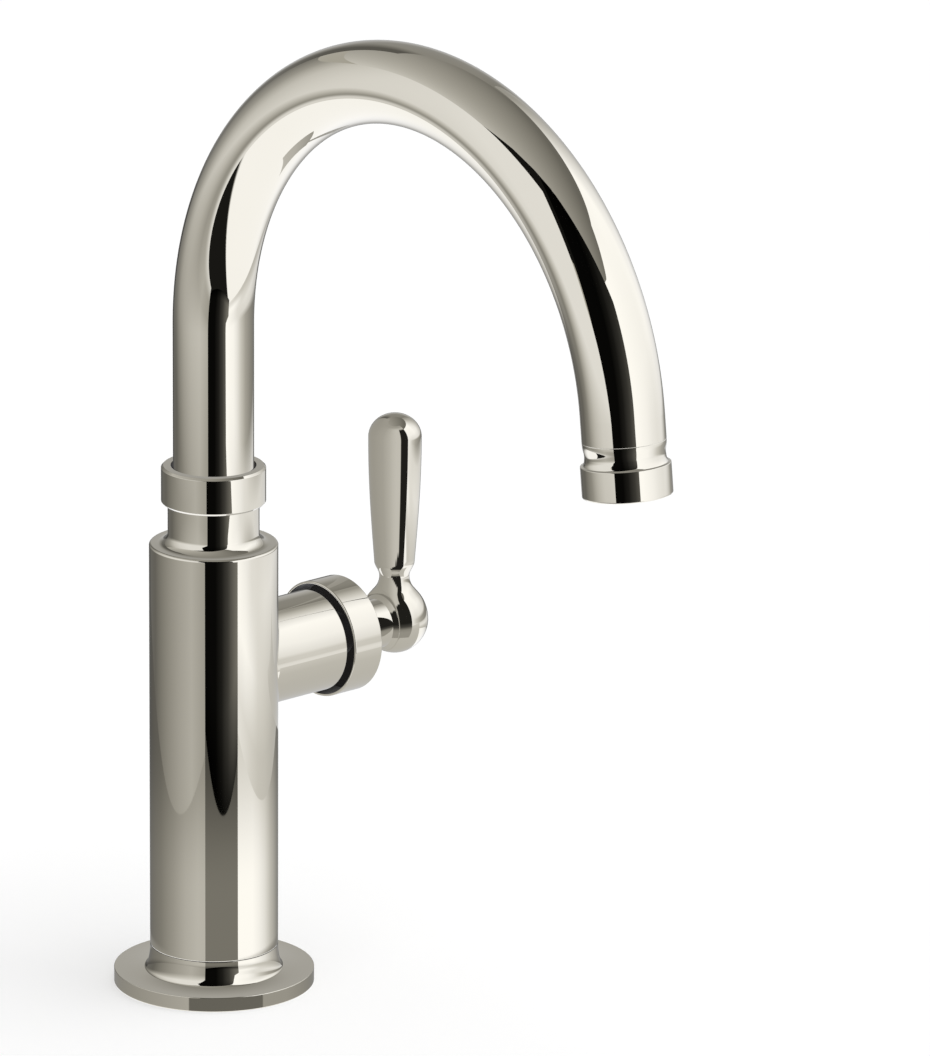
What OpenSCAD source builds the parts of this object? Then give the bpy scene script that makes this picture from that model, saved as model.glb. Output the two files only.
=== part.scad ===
// Gooseneck bar faucet with a side lever. Every size is in millimetres.
// The origin is the body's axis at the deck's face. +Z is up, the spout points along -Y and the side
// valve along +X. The lever stands upright, which is its closed place.
// Threads are plain cylinders at their outside diameter.

/* [Deck flange] */
// Outside diameter of the flange
flange_od = 55.5; // [50:0.1:65]
// Height of the flange's rim
flange_rim_h = 4.2; // [3.4:0.1:6]
// Height of the flared neck above the rim
flange_neck_h = 6.9; // [5:0.1:10]
// Foot diameter of the flared neck, on the rim's top face
flange_flare_od = 38.8; // [38:0.1:46]
// Depth of the gasket's groove under the flange
gasket_h = 2; // [1:0.1:2.4]
// Width of the flange's edge outside the gasket
gasket_edge = 2.4; // [1.5:0.1:4]

/* [Body] */
// Outside diameter of the body
body_od = 35.5; // [34:0.1:38]
// Height of the body from the flange to its top shoulder
body_len = 115.7; // [110:0.1:140]
// Rounding of the body's two outer edges
body_edge_r = 0.7; // [0.3:0.1:1.2]
// Height of the neck between the body's shoulder and the spout nut
neck_len = 11.5; // [8:0.1:16]
// Wall of the neck outside the spout tube
neck_wall = 1.2; // [1:0.05:1.8]
// Radius of the cove where the neck meets the shoulder
neck_cove_r = 3; // [1:0.1:3.6]

/* [Spout] */
// Outside diameter of the spout tube
spout_od = 22.2; // [20:0.1:23.6]
// Wall of the spout tube
spout_wall = 1.2; // [1:0.05:1.6]
// Radius of the gooseneck bend, at the tube's centreline
bend_r = 81.9; // [60:0.1:110]
// Turn of the gooseneck bend, in degrees
bend_turn = 173.5; // [165:0.5:180]
// Straight rise of the tube from the spout nut's top to the bend
riser_len = 39.9; // [20:0.1:90]

/* [Spout swivel] */
// Height of the spout nut
nut_h = 10.6; // [9:0.1:14]
// Wall of the spout nut outside the body's spigot
nut_wall = 1.8; // [1.2:0.05:3]
// Chamfer of the spout nut's edges
nut_chamfer = 0.6; // [0.2:0.1:1]
// Height of the spout nut's inner lip
nut_lip_h = 2.1; // [1.4:0.1:3]
// Gap between the spout nut's lip and the tube
nut_lip_gap = 0.55; // [0.4:0.05:0.8]
// Height of the split ring that holds the spout down
keeper_h = 1.2; // [0.8:0.1:1.6]
// Depth of the split ring's groove in the tube
keeper_groove = 0.5; // [0.3:0.05:0.7]
// Opening of the split ring, in degrees
keeper_split = 40; // [20:1:90]
// Depth of the tube inside the spigot
tube_seat = 8; // [5:0.1:10]
// Height of the swivel post's shoulder under the tube
shoulder_h = 1.4; // [1:0.1:3]
// Height of the glide washer under the shoulder
glide_h = 1; // [0.6:0.1:2]
// Width of the ledge that carries the glide washer
ledge_w = 1; // [0.8:0.05:1.6]
// Length of the swivel post below its shoulder
post_len = 26; // [24:0.1:27]
// Length of the post's plug inside the tube
plug_len = 10; // [9:0.1:16]
// Wall of the glide bushings
bushing_wall = 1; // [0.8:0.05:1.2]
// Height of each glide bushing
bushing_h = 4; // [3:0.1:5]
// Thickness of the sealing rings
oring_d = 2.6; // [2:0.05:2.8]
// Distance between the two sealing rings
oring_pitch = 6; // [5:0.1:7]
// Wall of the post behind the sealing rings
post_wall = 1.7; // [1.2:0.05:2.5]

/* [Outlet] */
// Length of the straight adapter between the bend and the outlet's seam
adapter_len = 6.8; // [4:0.1:20]
// Outside diameter of the outlet ring
outlet_od = 23.9; // [23.8:0.1:27]
// Height of the outlet ring
outlet_ring_h = 8.4; // [7:0.1:12]
// Length of the waisted neck between the tube and the outlet ring
outlet_neck_h = 6.2; // [5:0.1:10]
// Depth of the neck's waist
outlet_waist = 0.4; // [0:0.05:0.8]
// Length of the adapter's spigot inside the tube
adapter_spigot = 4; // [2:0.1:5]
// Wall of the adapter's threaded end
adapter_wall = 1.6; // [1.2:0.05:2]
// Wall of the outlet ring around the aerator
outlet_wall = 1.1; // [0.8:0.05:1.6]
// Height of the aerator insert
aerator_h = 6; // [5:0.1:6.4]
// Height of the aerator's washer
aerator_washer_h = 1.8; // [1.2:0.1:2.2]
// Number of ribs across the aerator
aerator_ribs = 6; // [3:1:10]

/* [Side valve] */
// Distance of the valve's axis below the body's top shoulder
valve_drop = 35.5; // [34.5:0.1:60]
// Length of the barrel outside the body
barrel_len = 18.85; // [16:0.05:28]
// Wall of the barrel around the cartridge
barrel_wall = 1.6; // [1.4:0.05:2.2]
// Rounding of the barrel's end
barrel_edge_r = 0.4; // [0.2:0.1:0.8]
// Diameter of the cartridge's housing
cartridge_d = 25; // [24:0.1:26]
// Distance from the cartridge's seat to the barrel's end
cartridge_len = 33.6; // [33.2:0.1:34.4]
// Diameter of the water passages
passage_d = 6; // [4.8:0.1:6.6]
// Distance of the cartridge's ports from its axis
port_r = 7; // [6.6:0.1:7.2]
// Distance of the upright passages behind the cartridge's seat
passage_back = 7.5; // [6.5:0.1:8.5]
// Depth of the nut's thread in the barrel
cartridge_nut_h = 5.8; // [4.6:0.1:6.2]
// Height of the nut's spanner slots
spanner_slot_h = 1.8; // [1:0.1:2.4]

/* [Cartridge] */
// Thickness of the cartridge's base
base_h = 6; // [5:0.1:7]
// Wall of the cartridge's housing
housing_wall = 1.25; // [1:0.05:1.6]
// Thickness of the port seals
port_seal_h = 1; // [0.6:0.1:1.6]
// Thickness of each ceramic disc
disc_h = 3; // [2:0.1:3.2]
// Radius of the moving disc
moving_disc_r = 8; // [7.4:0.1:8.2]
// Thickness of the moving disc's carrier
carrier_h = 7; // [6.6:0.1:7.2]
// Thickness of the guide's flange
guide_flange_h = 1.5; // [1:0.1:2]
// Distance from the stem's ball to its pin
stem_arm = 8; // [7.6:0.1:8.4]
// Radius of the stem's ball
stem_ball_r = 2.8; // [2.4:0.05:2.8]
// Width of the stem's square end
stem_square = 6.4; // [5.6:0.1:6.6]
// Diameter of the stem's pin
stem_pin_d = 2.5; // [2:0.1:2.8]
// Largest tilt of the stem, in degrees
stem_tilt = 20; // [12:1:21]

/* [Handle] */
// Gap between the barrel's end and the handle's cap
cap_gap = 1.2; // [0.8:0.1:2]
// Length of the cap
cap_len = 9.9; // [9:0.1:13]
// Wall of the cap's skirt
cap_wall = 0.75; // [0.6:0.05:1.2]
// Thickness of the cap's end
cap_end_h = 1.7; // [1.2:0.1:2.4]
// Clearance between the cap's skirt and the barrel
cap_clear = 1.35; // [1.2:0.05:2]
// Rounding of the cap's outer edges
cap_edge_r = 0.4; // [0.2:0.1:0.7]
// Diameter of the hub's neck
hub_od = 13.8; // [13.4:0.1:15]
// Distance from the cap's end to the seam between hub and lever
hub_len = 13.9; // [12:0.1:18]
// Diameter of the lever's ball
ball_d = 19; // [18:0.1:21]
// Distance from the seam to the middle of the ball
ball_offset = 5; // [4.6:0.1:5.6]
// Diameter of the set screw in the hub
set_screw_d = 4; // [3:0.5:5]
// Length of the stem's square end inside the hub
stem_in_hub = 8.3; // [7:0.1:8.6]
// Diameter of the lever's spigot in the hub
lever_spigot_d = 8; // [6:0.1:9]
// Length of the lever's spigot in the hub
lever_spigot_h = 3.4; // [2:0.1:3.6]

/* [Lever] */
// Height of the lever above the middle of the ball
lever_h = 59.7; // [45:0.1:90]
// Greatest diameter of the lever, near its top
lever_top_d = 14.9; // [13:0.1:18]
// Diameter of the lever's foot, above the waist
lever_foot_d = 11.3; // [10:0.1:13]
// Diameter of the waist between the ball and the lever
waist_d = 8.4; // [7:0.1:9.6]
// Height of the waist above the middle of the ball
waist_h = 12.7; // [12.2:0.1:14]
// Radius of the cove between the ball and the waist
waist_cove_r = 5.8; // [5:0.1:6.4]
// Height of the lever's domed top
lever_dome_h = 6.7; // [5:0.1:9]

/* [Deck fixing] */
// Thickness of the deck that the faucet is fixed to
deck_t = 30; // [10:1:40]
// Outside diameter of the threaded shank
shank_od = 30; // [29:0.1:31]
// Wall of the shank
shank_wall = 2.4; // [2:0.1:2.6]
// Length of the shank below the deck's face
shank_len = 55; // [54:1:90]
// Depth of the shank's thread in the body
shank_seat = 10; // [8:0.5:14]
// Outside diameter of the two washers
washer_od = 50; // [44:0.5:56]
// Thickness of the rubber washer
rubber_washer_h = 3; // [2:0.1:4]
// Thickness of the steel washer
steel_washer_h = 2; // [1.5:0.1:3]
// Width of the mounting nut across its flats
mounting_nut_af = 41; // [38:0.5:46]
// Height of the mounting nut
mounting_nut_h = 8; // [6:0.5:9]
// Thread diameter of the supply hoses' ends
inlet_d = 9; // [7:0.1:9.6]
// Depth of the inlets
inlet_h = 10; // [8:0.5:16]

/* [Hidden] */
$fn = 96;

nickel = [0.78, 0.76, 0.70];
brass = [0.80, 0.66, 0.36];
steel = [0.62, 0.63, 0.64];
rubber = [0.12, 0.12, 0.12];
white_plastic = [0.90, 0.90, 0.88];
grey_plastic = [0.45, 0.46, 0.48];
ceramic = [0.93, 0.92, 0.88];

over = 1;            // how far a cut runs past the face that it opens
running = 0.05;      // radial clearance of a turning or sliding fit
thread_gap = 0.05;   // radial clearance of a screwed joint
film = 0.05;         // gap between faces that slide on each other
free_gap = 0.3;      // gap between moving pieces that don't touch
drop_in = 0.1;       // radial clearance of a piece that drops into its bore
end_gap = 0.2;       // room past the end of a spigot or a stem

// Sizes that nothing outside their own joint depends on
post_end_room = 1.5;       // water room under the swivel post
bushing_edge = 0.8;        // length of post showing past each bushing
nut_thread_h = 0.65;       // how far the cartridge nut's thread stands outside the cartridge
guide_shoulder = 1.8;      // width of the housing's lip over the guide's flange
housing_step = 1.7;        // depth of the housing's neck inside the nut
housing_lip_h = 1.1;       // thickness of the housing's end
guide_nose = 5;            // length of the guide past the stem's pin
ball_depth = 1;            // depth of the stem ball's middle in the carrier
nut_stand = 0.6;           // how far the cartridge nut stands out of the barrel
stem_step = 1;             // distance from the nut's face to the stem's square end
hub_boss_h = 4.7;          // height of the hub's boss inside the cap
hub_boss_step = 0.9;       // width of the hub's shoulder on the cap
set_screw_in = 4.6;        // distance of the set screw from the cap's end
peg_r = 1.2;               // radius of the cartridge's locating pegs
peg_side = 4;              // sideways distance of the pegs from the valve's axis
peg_inset = 3.6;           // distance of the pegs from the cartridge's edge
peg_h = 1.8;               // length of the pegs
screen_h = 0.5;            // thickness of the aerator's screens
aerator_rim = 2.2;         // width of the aerator's rim around its screens
aerator_recess = 1;        // depth of the aerator inside the outlet ring's edge

// Heights along the body's axis, from the deck up
body_z0 = flange_rim_h + flange_neck_h;
body_z1 = body_z0 + body_len;
neck_z1 = body_z1 + neck_len;
nut_z1 = neck_z1 + nut_h;
lip_z = nut_z1 - nut_lip_h;
keeper_z1 = lip_z - free_gap;
keeper_z0 = keeper_z1 - keeper_h;
spigot_z1 = keeper_z0 - free_gap;
tube_z0 = spigot_z1 - tube_seat;
shoulder_z0 = tube_z0 - shoulder_h;
glide_z0 = shoulder_z0 - film - glide_h;
post_z0 = shoulder_z0 - post_len;
socket_z0 = post_z0 - post_end_room;
bend_z = nut_z1 + riser_len;
upper_bushing_z = glide_z0 - bushing_edge - bushing_h;
lower_bushing_z = post_z0 + bushing_edge;
oring_mid_z = (upper_bushing_z + lower_bushing_z + bushing_h) / 2;
valve_z = body_z1 - valve_drop;
shank_z1 = body_z0 + shank_seat;

// Radii about the body's axis
body_r = body_od / 2;
spout_r = spout_od / 2;
bore_r = spout_r - spout_wall;
counterbore_r = spout_r + free_gap;
neck_r = counterbore_r + neck_wall;
spigot_r = neck_r - drop_in;
nut_r = neck_r + nut_wall;
socket_r = counterbore_r - ledge_w;
post_r = socket_r - bushing_wall - running;
groove_r = socket_r - running - oring_d;
post_bore_r = groove_r - post_wall;
keeper_in_r = spout_r - keeper_groove;
keeper_out_r = spigot_r - free_gap;
shank_r = shank_od / 2;
shank_bore_r = shank_r - shank_wall;
washer_r = washer_od / 2;
flange_bore_r = shank_r + 0.4;

// Distances along the valve's axis, from the body's axis outwards
barrel_x1 = body_r + barrel_len;
seat_x = barrel_x1 - cartridge_len;
passage_x = seat_x - passage_back;
disc_x = seat_x + base_h;
moving_disc_x = disc_x + disc_h + film;
carrier_x = moving_disc_x + disc_h;
guide_x = carrier_x + carrier_h + free_gap;
guide_neck_x = guide_x + guide_flange_h;
ball_in_x = carrier_x + carrier_h - ball_depth;
pivot_x = ball_in_x + stem_arm;
guide_x1 = pivot_x + guide_nose;
housing_x1 = guide_x1 + free_gap + housing_lip_h;
nut_x0 = barrel_x1 - cartridge_nut_h;
nut_x1 = barrel_x1 + nut_stand;
cap_x0 = barrel_x1 + cap_gap;
cap_x1 = cap_x0 + cap_len;
seam_x = cap_x1 + hub_len;
ball_x = seam_x + ball_offset;
stem_square_x = nut_x1 + stem_step;
stem_x1 = cap_x1 + stem_in_hub;
hub_boss_x = cap_x1 - hub_boss_h;
set_screw_x = cap_x1 + set_screw_in;
spigot_x = seam_x - lever_spigot_h;

// Radii about the valve's axis
cartridge_r = cartridge_d / 2;
cartridge_bore_r = cartridge_r + drop_in;
barrel_r = cartridge_bore_r + barrel_wall;
nut_thread_r = cartridge_bore_r + nut_thread_h;
housing_bore_r = cartridge_r - housing_wall;
guide_r = housing_bore_r - guide_shoulder;
housing_neck_r = cartridge_r - housing_step;
cap_bore_r = barrel_r + cap_clear;
cap_r = cap_bore_r + cap_wall;
hub_r = hub_od / 2;
hub_boss_r = hub_r - hub_boss_step;
ball_r = ball_d / 2;
lever_spigot_r = lever_spigot_d / 2;
stem_neck_r = 1.8;
stem_r = 3;
stem_pocket_r = stem_ball_r + free_gap;
port_bore_r = passage_d / 2 - 0.4;
port_seal_r = passage_d / 2 + 1.2;
port_angles = [90, 210, 330];

// Room for the tilting stem in the guide's slot, above and below the valve's axis
slot_up = stem_arm * sin(stem_tilt) + stem_ball_r + free_gap;
slot_down = (guide_x1 - pivot_x) * tan(stem_tilt) + stem_r / cos(stem_tilt) + free_gap;
slot_half_w = stem_r + free_gap;

// Sizes along the outlet's axis, from the end of the bend
outlet_r = outlet_od / 2;
outlet_s0 = adapter_len;
outlet_rim_s = outlet_s0 + outlet_neck_h;
outlet_s1 = outlet_rim_s + outlet_ring_h;
aerator_r = outlet_r - outlet_wall;
aerator_s0 = outlet_s1 - aerator_recess - aerator_h;
washer_s0 = aerator_s0 - aerator_washer_h;
adapter_spigot_r = bore_r - 0.15;
adapter_thread_r = spout_r - 0.95;
outlet_bore_r = adapter_thread_r - adapter_wall;

// Points of an arc about [cx, cy], from angle a0 to a1
function arc(cx, cy, r, a0, a1, n = 8) =
    [for (i = [0:n]) let (a = a0 + (a1 - a0) * i / n) [cx + r * cos(a), cy + r * sin(a)]];

// Points of a smooth S between two [radius, height] points, upright at both ends
function ess(p, q, n = 8) =
    [for (i = [0:n]) let (t = i / n, s = (1 - cos(180 * t)) / 2)
        [p[0] + (q[0] - p[0]) * s, p[1] + (q[1] - p[1]) * t]];

module tube(r_out, r_in, h) {
    difference() {
        cylinder(h = h, r = r_out);
        translate([0, 0, -over])
            cylinder(h = h + 2 * over, r = r_in);
    }
}

// Places local Z along the valve's axis, local X along the part's Y and local Y upright
module on_valve(x) {
    translate([x, 0, valve_z])
        rotate([90, 0, 90])
            children();
}

// Places local Z along the outlet's axis, with its origin at the end of the bend
module on_outlet(s = 0) {
    translate([0, -bend_r, bend_z])
        rotate([bend_turn, 0, 0])
            translate([0, bend_r, s])
                children();
}

// ---- Deck flange and fixing ----

module deck_flange() {
    flare_r = flange_flare_od / 2;
    gasket_r1 = flange_od / 2 - gasket_edge;
    gasket_r0 = flange_bore_r + gasket_edge / 2;
    profile = concat(
        [[flange_bore_r, 0], [flange_od / 2, 0]],
        arc(flange_od / 2 - 0.3, flange_rim_h - 0.3, 0.3, 0, 90, 3),
        [for (i = [0:8]) let (a = 90 * i / 8)
            [body_r + (flare_r - body_r) * (1 - sin(a)),
             body_z0 - flange_neck_h * cos(a)]],
        [[flange_bore_r, body_z0]]
    );
    color(nickel) difference() {
        rotate_extrude() polygon(profile);
        translate([0, 0, -over])
            tube(gasket_r1, gasket_r0, gasket_h + over);
    }
}

module deck_gasket() {
    gasket_r1 = flange_od / 2 - gasket_edge;
    gasket_r0 = flange_bore_r + gasket_edge / 2;
    color(rubber) tube(gasket_r1, gasket_r0, gasket_h);
}

module mounting_shank() {
    color(brass) translate([0, 0, -shank_len])
        tube(shank_r, shank_bore_r, shank_len + shank_z1);
}

module rubber_washer() {
    color(rubber) translate([0, 0, -deck_t - rubber_washer_h])
        tube(washer_r, flange_bore_r, rubber_washer_h);
}

module steel_washer() {
    color(steel) translate([0, 0, -deck_t - rubber_washer_h - steel_washer_h])
        tube(washer_r, flange_bore_r, steel_washer_h);
}

module mounting_nut() {
    nut_z0 = -deck_t - rubber_washer_h - steel_washer_h - mounting_nut_h;
    color(brass) translate([0, 0, nut_z0]) difference() {
        cylinder(h = mounting_nut_h, r = mounting_nut_af / 2 / cos(30), $fn = 6);
        translate([0, 0, -over])
            cylinder(h = mounting_nut_h + 2 * over, r = shank_r + thread_gap);
    }
}

// ---- Body ----

module faucet_body() {
    profile = concat(
        [[0, body_z0]],
        arc(body_r - body_edge_r, body_z0 + body_edge_r, body_edge_r, -90, 0, 4),
        arc(body_r - body_edge_r, body_z1 - body_edge_r, body_edge_r, 0, 90, 4),
        arc(neck_r + neck_cove_r, body_z1 + neck_cove_r, neck_cove_r, 270, 180),
        [[neck_r, neck_z1], [spigot_r, neck_z1], [spigot_r, spigot_z1], [0, spigot_z1]]
    );
    barrel = concat(
        [[0, 0], [barrel_r, 0]],
        arc(barrel_r - barrel_edge_r, barrel_x1 - barrel_edge_r, barrel_edge_r, 0, 90, 4),
        [[0, barrel_x1]]
    );
    color(nickel) difference() {
        union() {
            rotate_extrude() polygon(profile);
            on_valve(0) rotate_extrude() polygon(barrel);
        }
        spout_socket();
        cartridge_socket();
        waterways();
    }
}

module spout_socket() {
    translate([0, 0, socket_z0])
        cylinder(h = spigot_z1 - socket_z0 + over, r = socket_r);
    translate([0, 0, glide_z0])
        cylinder(h = spigot_z1 - glide_z0 + over, r = counterbore_r);
}

module cartridge_socket() {
    on_valve(seat_x) cylinder(h = cartridge_len + over, r = cartridge_bore_r);
    on_valve(nut_x0) cylinder(h = cartridge_nut_h + over, r = nut_thread_r);
    on_valve(seat_x - peg_h - end_gap) locating_pegs(peg_h + over, thread_gap);
}

// Two pegs that stop the cartridge from turning
module locating_pegs(h, gap = 0) {
    for (side = [-1, 1])
        translate([side * peg_side, -(cartridge_r - peg_inset), 0])
            cylinder(h = h, r = peg_r + gap, $fn = 32);
}

module waterways() {
    translate([0, 0, body_z0 - over])
        cylinder(h = shank_seat + over, r = shank_r + thread_gap);
    for (a = port_angles)
        on_valve(passage_x)
            translate([port_r * cos(a), port_r * sin(a), 0])
                cylinder(h = passage_back + over, d = passage_d);
    for (a = [210, 330])
        translate([passage_x, port_r * cos(a), shank_z1 - over]) {
            cylinder(h = valve_z + port_r * sin(a) - shank_z1 + over, d = passage_d);
            cylinder(h = inlet_h + over, d = inlet_d);
        }
    translate([passage_x, 0, valve_z + port_r])
        cylinder(h = socket_z0 - valve_z - port_r + over, d = passage_d);
}

// ---- Spout swivel ----

module spout_nut() {
    bore = spigot_r + thread_gap;
    lip = spout_r + nut_lip_gap;
    color(nickel) translate([0, 0, neck_z1]) rotate_extrude() polygon([
        [bore, 0],
        [nut_r - nut_chamfer, 0],
        [nut_r, nut_chamfer],
        [nut_r, nut_h - nut_chamfer],
        [nut_r - nut_chamfer, nut_h],
        [lip, nut_h],
        [lip, nut_h - nut_lip_h],
        [bore, nut_h - nut_lip_h]
    ]);
}

module glide_washer() {
    color(white_plastic) translate([0, 0, glide_z0])
        tube(counterbore_r - running, post_r + running, glide_h);
}

module glide_bushing(z) {
    color(white_plastic) translate([0, 0, z])
        tube(socket_r, post_r + running, bushing_h);
}

module upper_bushing() {
    glide_bushing(upper_bushing_z);
}

module lower_bushing() {
    glide_bushing(lower_bushing_z);
}

module swivel_post() {
    color(brass) difference() {
        union() {
            translate([0, 0, post_z0])
                cylinder(h = post_len, r = post_r);
            translate([0, 0, shoulder_z0])
                cylinder(h = shoulder_h, r = spout_r);
            translate([0, 0, tube_z0])
                cylinder(h = plug_len, r = bore_r);
        }
        translate([0, 0, post_z0 - over])
            cylinder(h = post_len + shoulder_h + plug_len + 2 * over, r = post_bore_r);
        for (side = [-1, 1])
            translate([0, 0, oring_mid_z + side * oring_pitch / 2 - oring_d / 2 - end_gap])
                tube(post_r + over, groove_r, oring_d + 2 * end_gap);
    }
}

module oring(z) {
    color(rubber) translate([0, 0, z]) rotate_extrude()
        translate([groove_r + oring_d / 2, 0])
            circle(d = oring_d, $fn = 48);
}

module upper_oring() {
    oring(oring_mid_z + oring_pitch / 2);
}

module lower_oring() {
    oring(oring_mid_z - oring_pitch / 2);
}

// The split faces the back, away from the outlet
module keeper_ring() {
    color(steel) translate([0, 0, keeper_z0])
        rotate([0, 0, 90 + keeper_split / 2])
            rotate_extrude(angle = 360 - keeper_split)
                translate([keeper_in_r, 0])
                    square([keeper_out_r - keeper_in_r, keeper_h]);
}

// ---- Spout ----

module spout_tube() {
    color(nickel) {
        difference() {
            translate([0, 0, tube_z0])
                tube(spout_r, bore_r, bend_z - tube_z0);
            translate([0, 0, keeper_z0])
                tube(spout_r + over, keeper_in_r, keeper_h);
        }
        translate([0, -bend_r, bend_z])
            rotate([90, 0, 90])
                rotate_extrude(angle = bend_turn)
                    translate([bend_r, 0])
                        difference() {
                            circle(r = spout_r);
                            circle(r = bore_r);
                        }
    }
}

// ---- Outlet and aerator ----

// The adapter is brazed into the tube's end, and its lower end carries the housing's thread
module outlet_adapter() {
    color(nickel) on_outlet() rotate_extrude() polygon([
        [outlet_bore_r, -adapter_spigot],
        [adapter_spigot_r, -adapter_spigot],
        [adapter_spigot_r, 0],
        [spout_r, 0],
        [spout_r, outlet_s0],
        [adapter_thread_r, outlet_s0],
        [adapter_thread_r, washer_s0],
        [outlet_bore_r, washer_s0]
    ]);
}

module outlet_housing() {
    thread_bore_r = adapter_thread_r + thread_gap;
    waist_r = spout_r - outlet_waist;
    waist_s = outlet_rim_s - 2.4;
    profile = concat(
        [[thread_bore_r, outlet_s0]],
        ess([spout_r, outlet_s0], [waist_r, waist_s], 6),
        arc(outlet_r - 0.3, waist_s, outlet_r - 0.3 - waist_r, 180, 120, 5),
        [[outlet_r, outlet_rim_s]],
        arc(outlet_r - 0.5, outlet_s1 - 0.5, 0.5, 0, 90, 4),
        [[aerator_r, outlet_s1], [aerator_r, washer_s0], [thread_bore_r, washer_s0]]
    );
    color(nickel) on_outlet() rotate_extrude() polygon(profile);
}

module aerator_washer() {
    color(rubber) on_outlet(washer_s0)
        tube(aerator_r - thread_gap, outlet_bore_r, aerator_washer_h);
}

module aerator_insert() {
    well_r = aerator_r - aerator_rim;
    ring_r = 3.4;
    rib_w = 1;
    rib_h = 2;
    color(white_plastic) on_outlet(aerator_s0) {
        tube(aerator_r - thread_gap, well_r, aerator_h);
        translate([0, 0, (aerator_h - rib_h) / 3]) {
            translate([0, 0, -end_gap])
                tube(ring_r, ring_r - rib_w, rib_h + 2 * end_gap);
            for (i = [0:aerator_ribs - 1])
                rotate([0, 0, 360 * i / aerator_ribs])
                    translate([ring_r - rib_w / 2, -rib_w / 2, 0])
                        cube([well_r + end_gap - ring_r + rib_w / 2, rib_w, rib_h]);
        }
    }
}

module inlet_screen() {
    color(steel) on_outlet(aerator_s0)
        cylinder(h = screen_h, r = aerator_r - aerator_rim);
}

module outlet_screen() {
    color(steel) on_outlet(aerator_s0 + aerator_h - 2 * screen_h)
        cylinder(h = screen_h, r = aerator_r - aerator_rim);
}

// ---- Cartridge ----

module port_pattern() {
    for (a = port_angles)
        translate([port_r * cos(a), port_r * sin(a), 0])
            children();
}

module cartridge_base() {
    color(white_plastic) on_valve(seat_x) {
        difference() {
            cylinder(h = base_h, r = cartridge_r);
            port_pattern() {
                translate([0, 0, -over])
                    cylinder(h = base_h + 2 * over, r = port_bore_r);
                translate([0, 0, -over])
                    cylinder(h = port_seal_h + over, r = port_seal_r);
            }
        }
        translate([0, 0, -peg_h])
            locating_pegs(peg_h + end_gap);
    }
}

module port_seals() {
    color(rubber) on_valve(seat_x)
        port_pattern()
            tube(port_seal_r, port_bore_r, port_seal_h);
}

module cartridge_housing() {
    color(grey_plastic) on_valve(disc_x) rotate_extrude() polygon([
        [housing_bore_r, 0],
        [cartridge_r, 0],
        [cartridge_r, nut_x0 - disc_x],
        [housing_neck_r, nut_x0 - disc_x],
        [housing_neck_r, housing_x1 - disc_x],
        [guide_r - 1, housing_x1 - disc_x],
        [guide_r - 1, guide_x1 + free_gap - disc_x],
        [guide_r + running, guide_x1 + free_gap - disc_x],
        [guide_r + running, guide_neck_x + free_gap - disc_x],
        [housing_bore_r, guide_neck_x + free_gap - disc_x]
    ]);
}

module fixed_disc() {
    color(ceramic) on_valve(disc_x) difference() {
        cylinder(h = disc_h, r = housing_bore_r);
        port_pattern()
            translate([0, 0, -over])
                cylinder(h = disc_h + 2 * over, r = port_bore_r);
    }
}

module moving_disc() {
    color(ceramic) on_valve(moving_disc_x) difference() {
        cylinder(h = disc_h, r = moving_disc_r);
        translate([0, 1.5, -over])
            cylinder(h = 1.2 + over, r = 4.4);
    }
}

module disc_carrier() {
    pocket_h = 1 + stem_ball_r + 0.8;
    color(white_plastic) on_valve(carrier_x) difference() {
        cylinder(h = carrier_h, r = moving_disc_r - 0.3);
        translate([0, 0, carrier_h - pocket_h])
            cylinder(h = pocket_h + over, r = stem_pocket_r);
    }
}

module cartridge_guide() {
    length = guide_x1 - guide_x;
    color(white_plastic) on_valve(guide_x) difference() {
        union() {
            cylinder(h = guide_flange_h, r = housing_bore_r - free_gap);
            cylinder(h = length, r = guide_r);
        }
        translate([-slot_half_w, -slot_down, -over])
            cube([2 * slot_half_w, slot_up + slot_down, length + 2 * over]);
        translate([0, 0, pivot_x - guide_x])
            rotate([0, 90, 0])
                cylinder(h = 2 * guide_r + 2 * over, d = stem_pin_d, center = true, $fn = 48);
    }
}

module stem_pin() {
    color(steel) on_valve(pivot_x)
        rotate([0, 90, 0])
            cylinder(h = 2 * guide_r - 1, d = stem_pin_d, center = true, $fn = 48);
}

module cartridge_stem() {
    half = stem_square / 2;
    color(steel) difference() {
        union() {
            on_valve(ball_in_x) sphere(r = stem_ball_r);
            on_valve(ball_in_x) cylinder(h = stem_arm, r = stem_neck_r);
            on_valve(pivot_x - 2.6) cylinder(h = stem_square_x - pivot_x + 2.6, r = stem_r);
            on_valve(stem_square_x)
                translate([-half, -half, 0])
                    cube([stem_square, stem_square, stem_x1 - stem_square_x]);
        }
        on_valve(pivot_x)
            rotate([0, 90, 0])
                cylinder(h = 4 * stem_r, d = stem_pin_d + 2 * running, center = true, $fn = 48);
    }
}

module cartridge_nut() {
    height = nut_x1 - nut_x0;
    color(brass) on_valve(nut_x0) difference() {
        tube(nut_thread_r - thread_gap, housing_neck_r + drop_in, height);
        for (a = [45, 135])
            rotate([0, 0, a])
                translate([-nut_thread_r - over, -1.5, height - spanner_slot_h])
                    cube([2 * nut_thread_r + 2 * over, 3, spanner_slot_h + over]);
    }
}

// ---- Handle ----

module handle_cap() {
    profile = concat(
        [[cap_bore_r, 0]],
        [[cap_r - cap_edge_r / 2, 0]],
        arc(cap_r - cap_edge_r, cap_edge_r, cap_edge_r, -60, 0, 3),
        arc(cap_r - cap_edge_r, cap_len - cap_edge_r, cap_edge_r, 0, 90, 4),
        [[hub_boss_r, cap_len], [hub_boss_r, cap_len - cap_end_h]],
        [[cap_bore_r, cap_len - cap_end_h]]
    );
    color(nickel) on_valve(cap_x0) rotate_extrude() polygon(profile);
}

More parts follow.
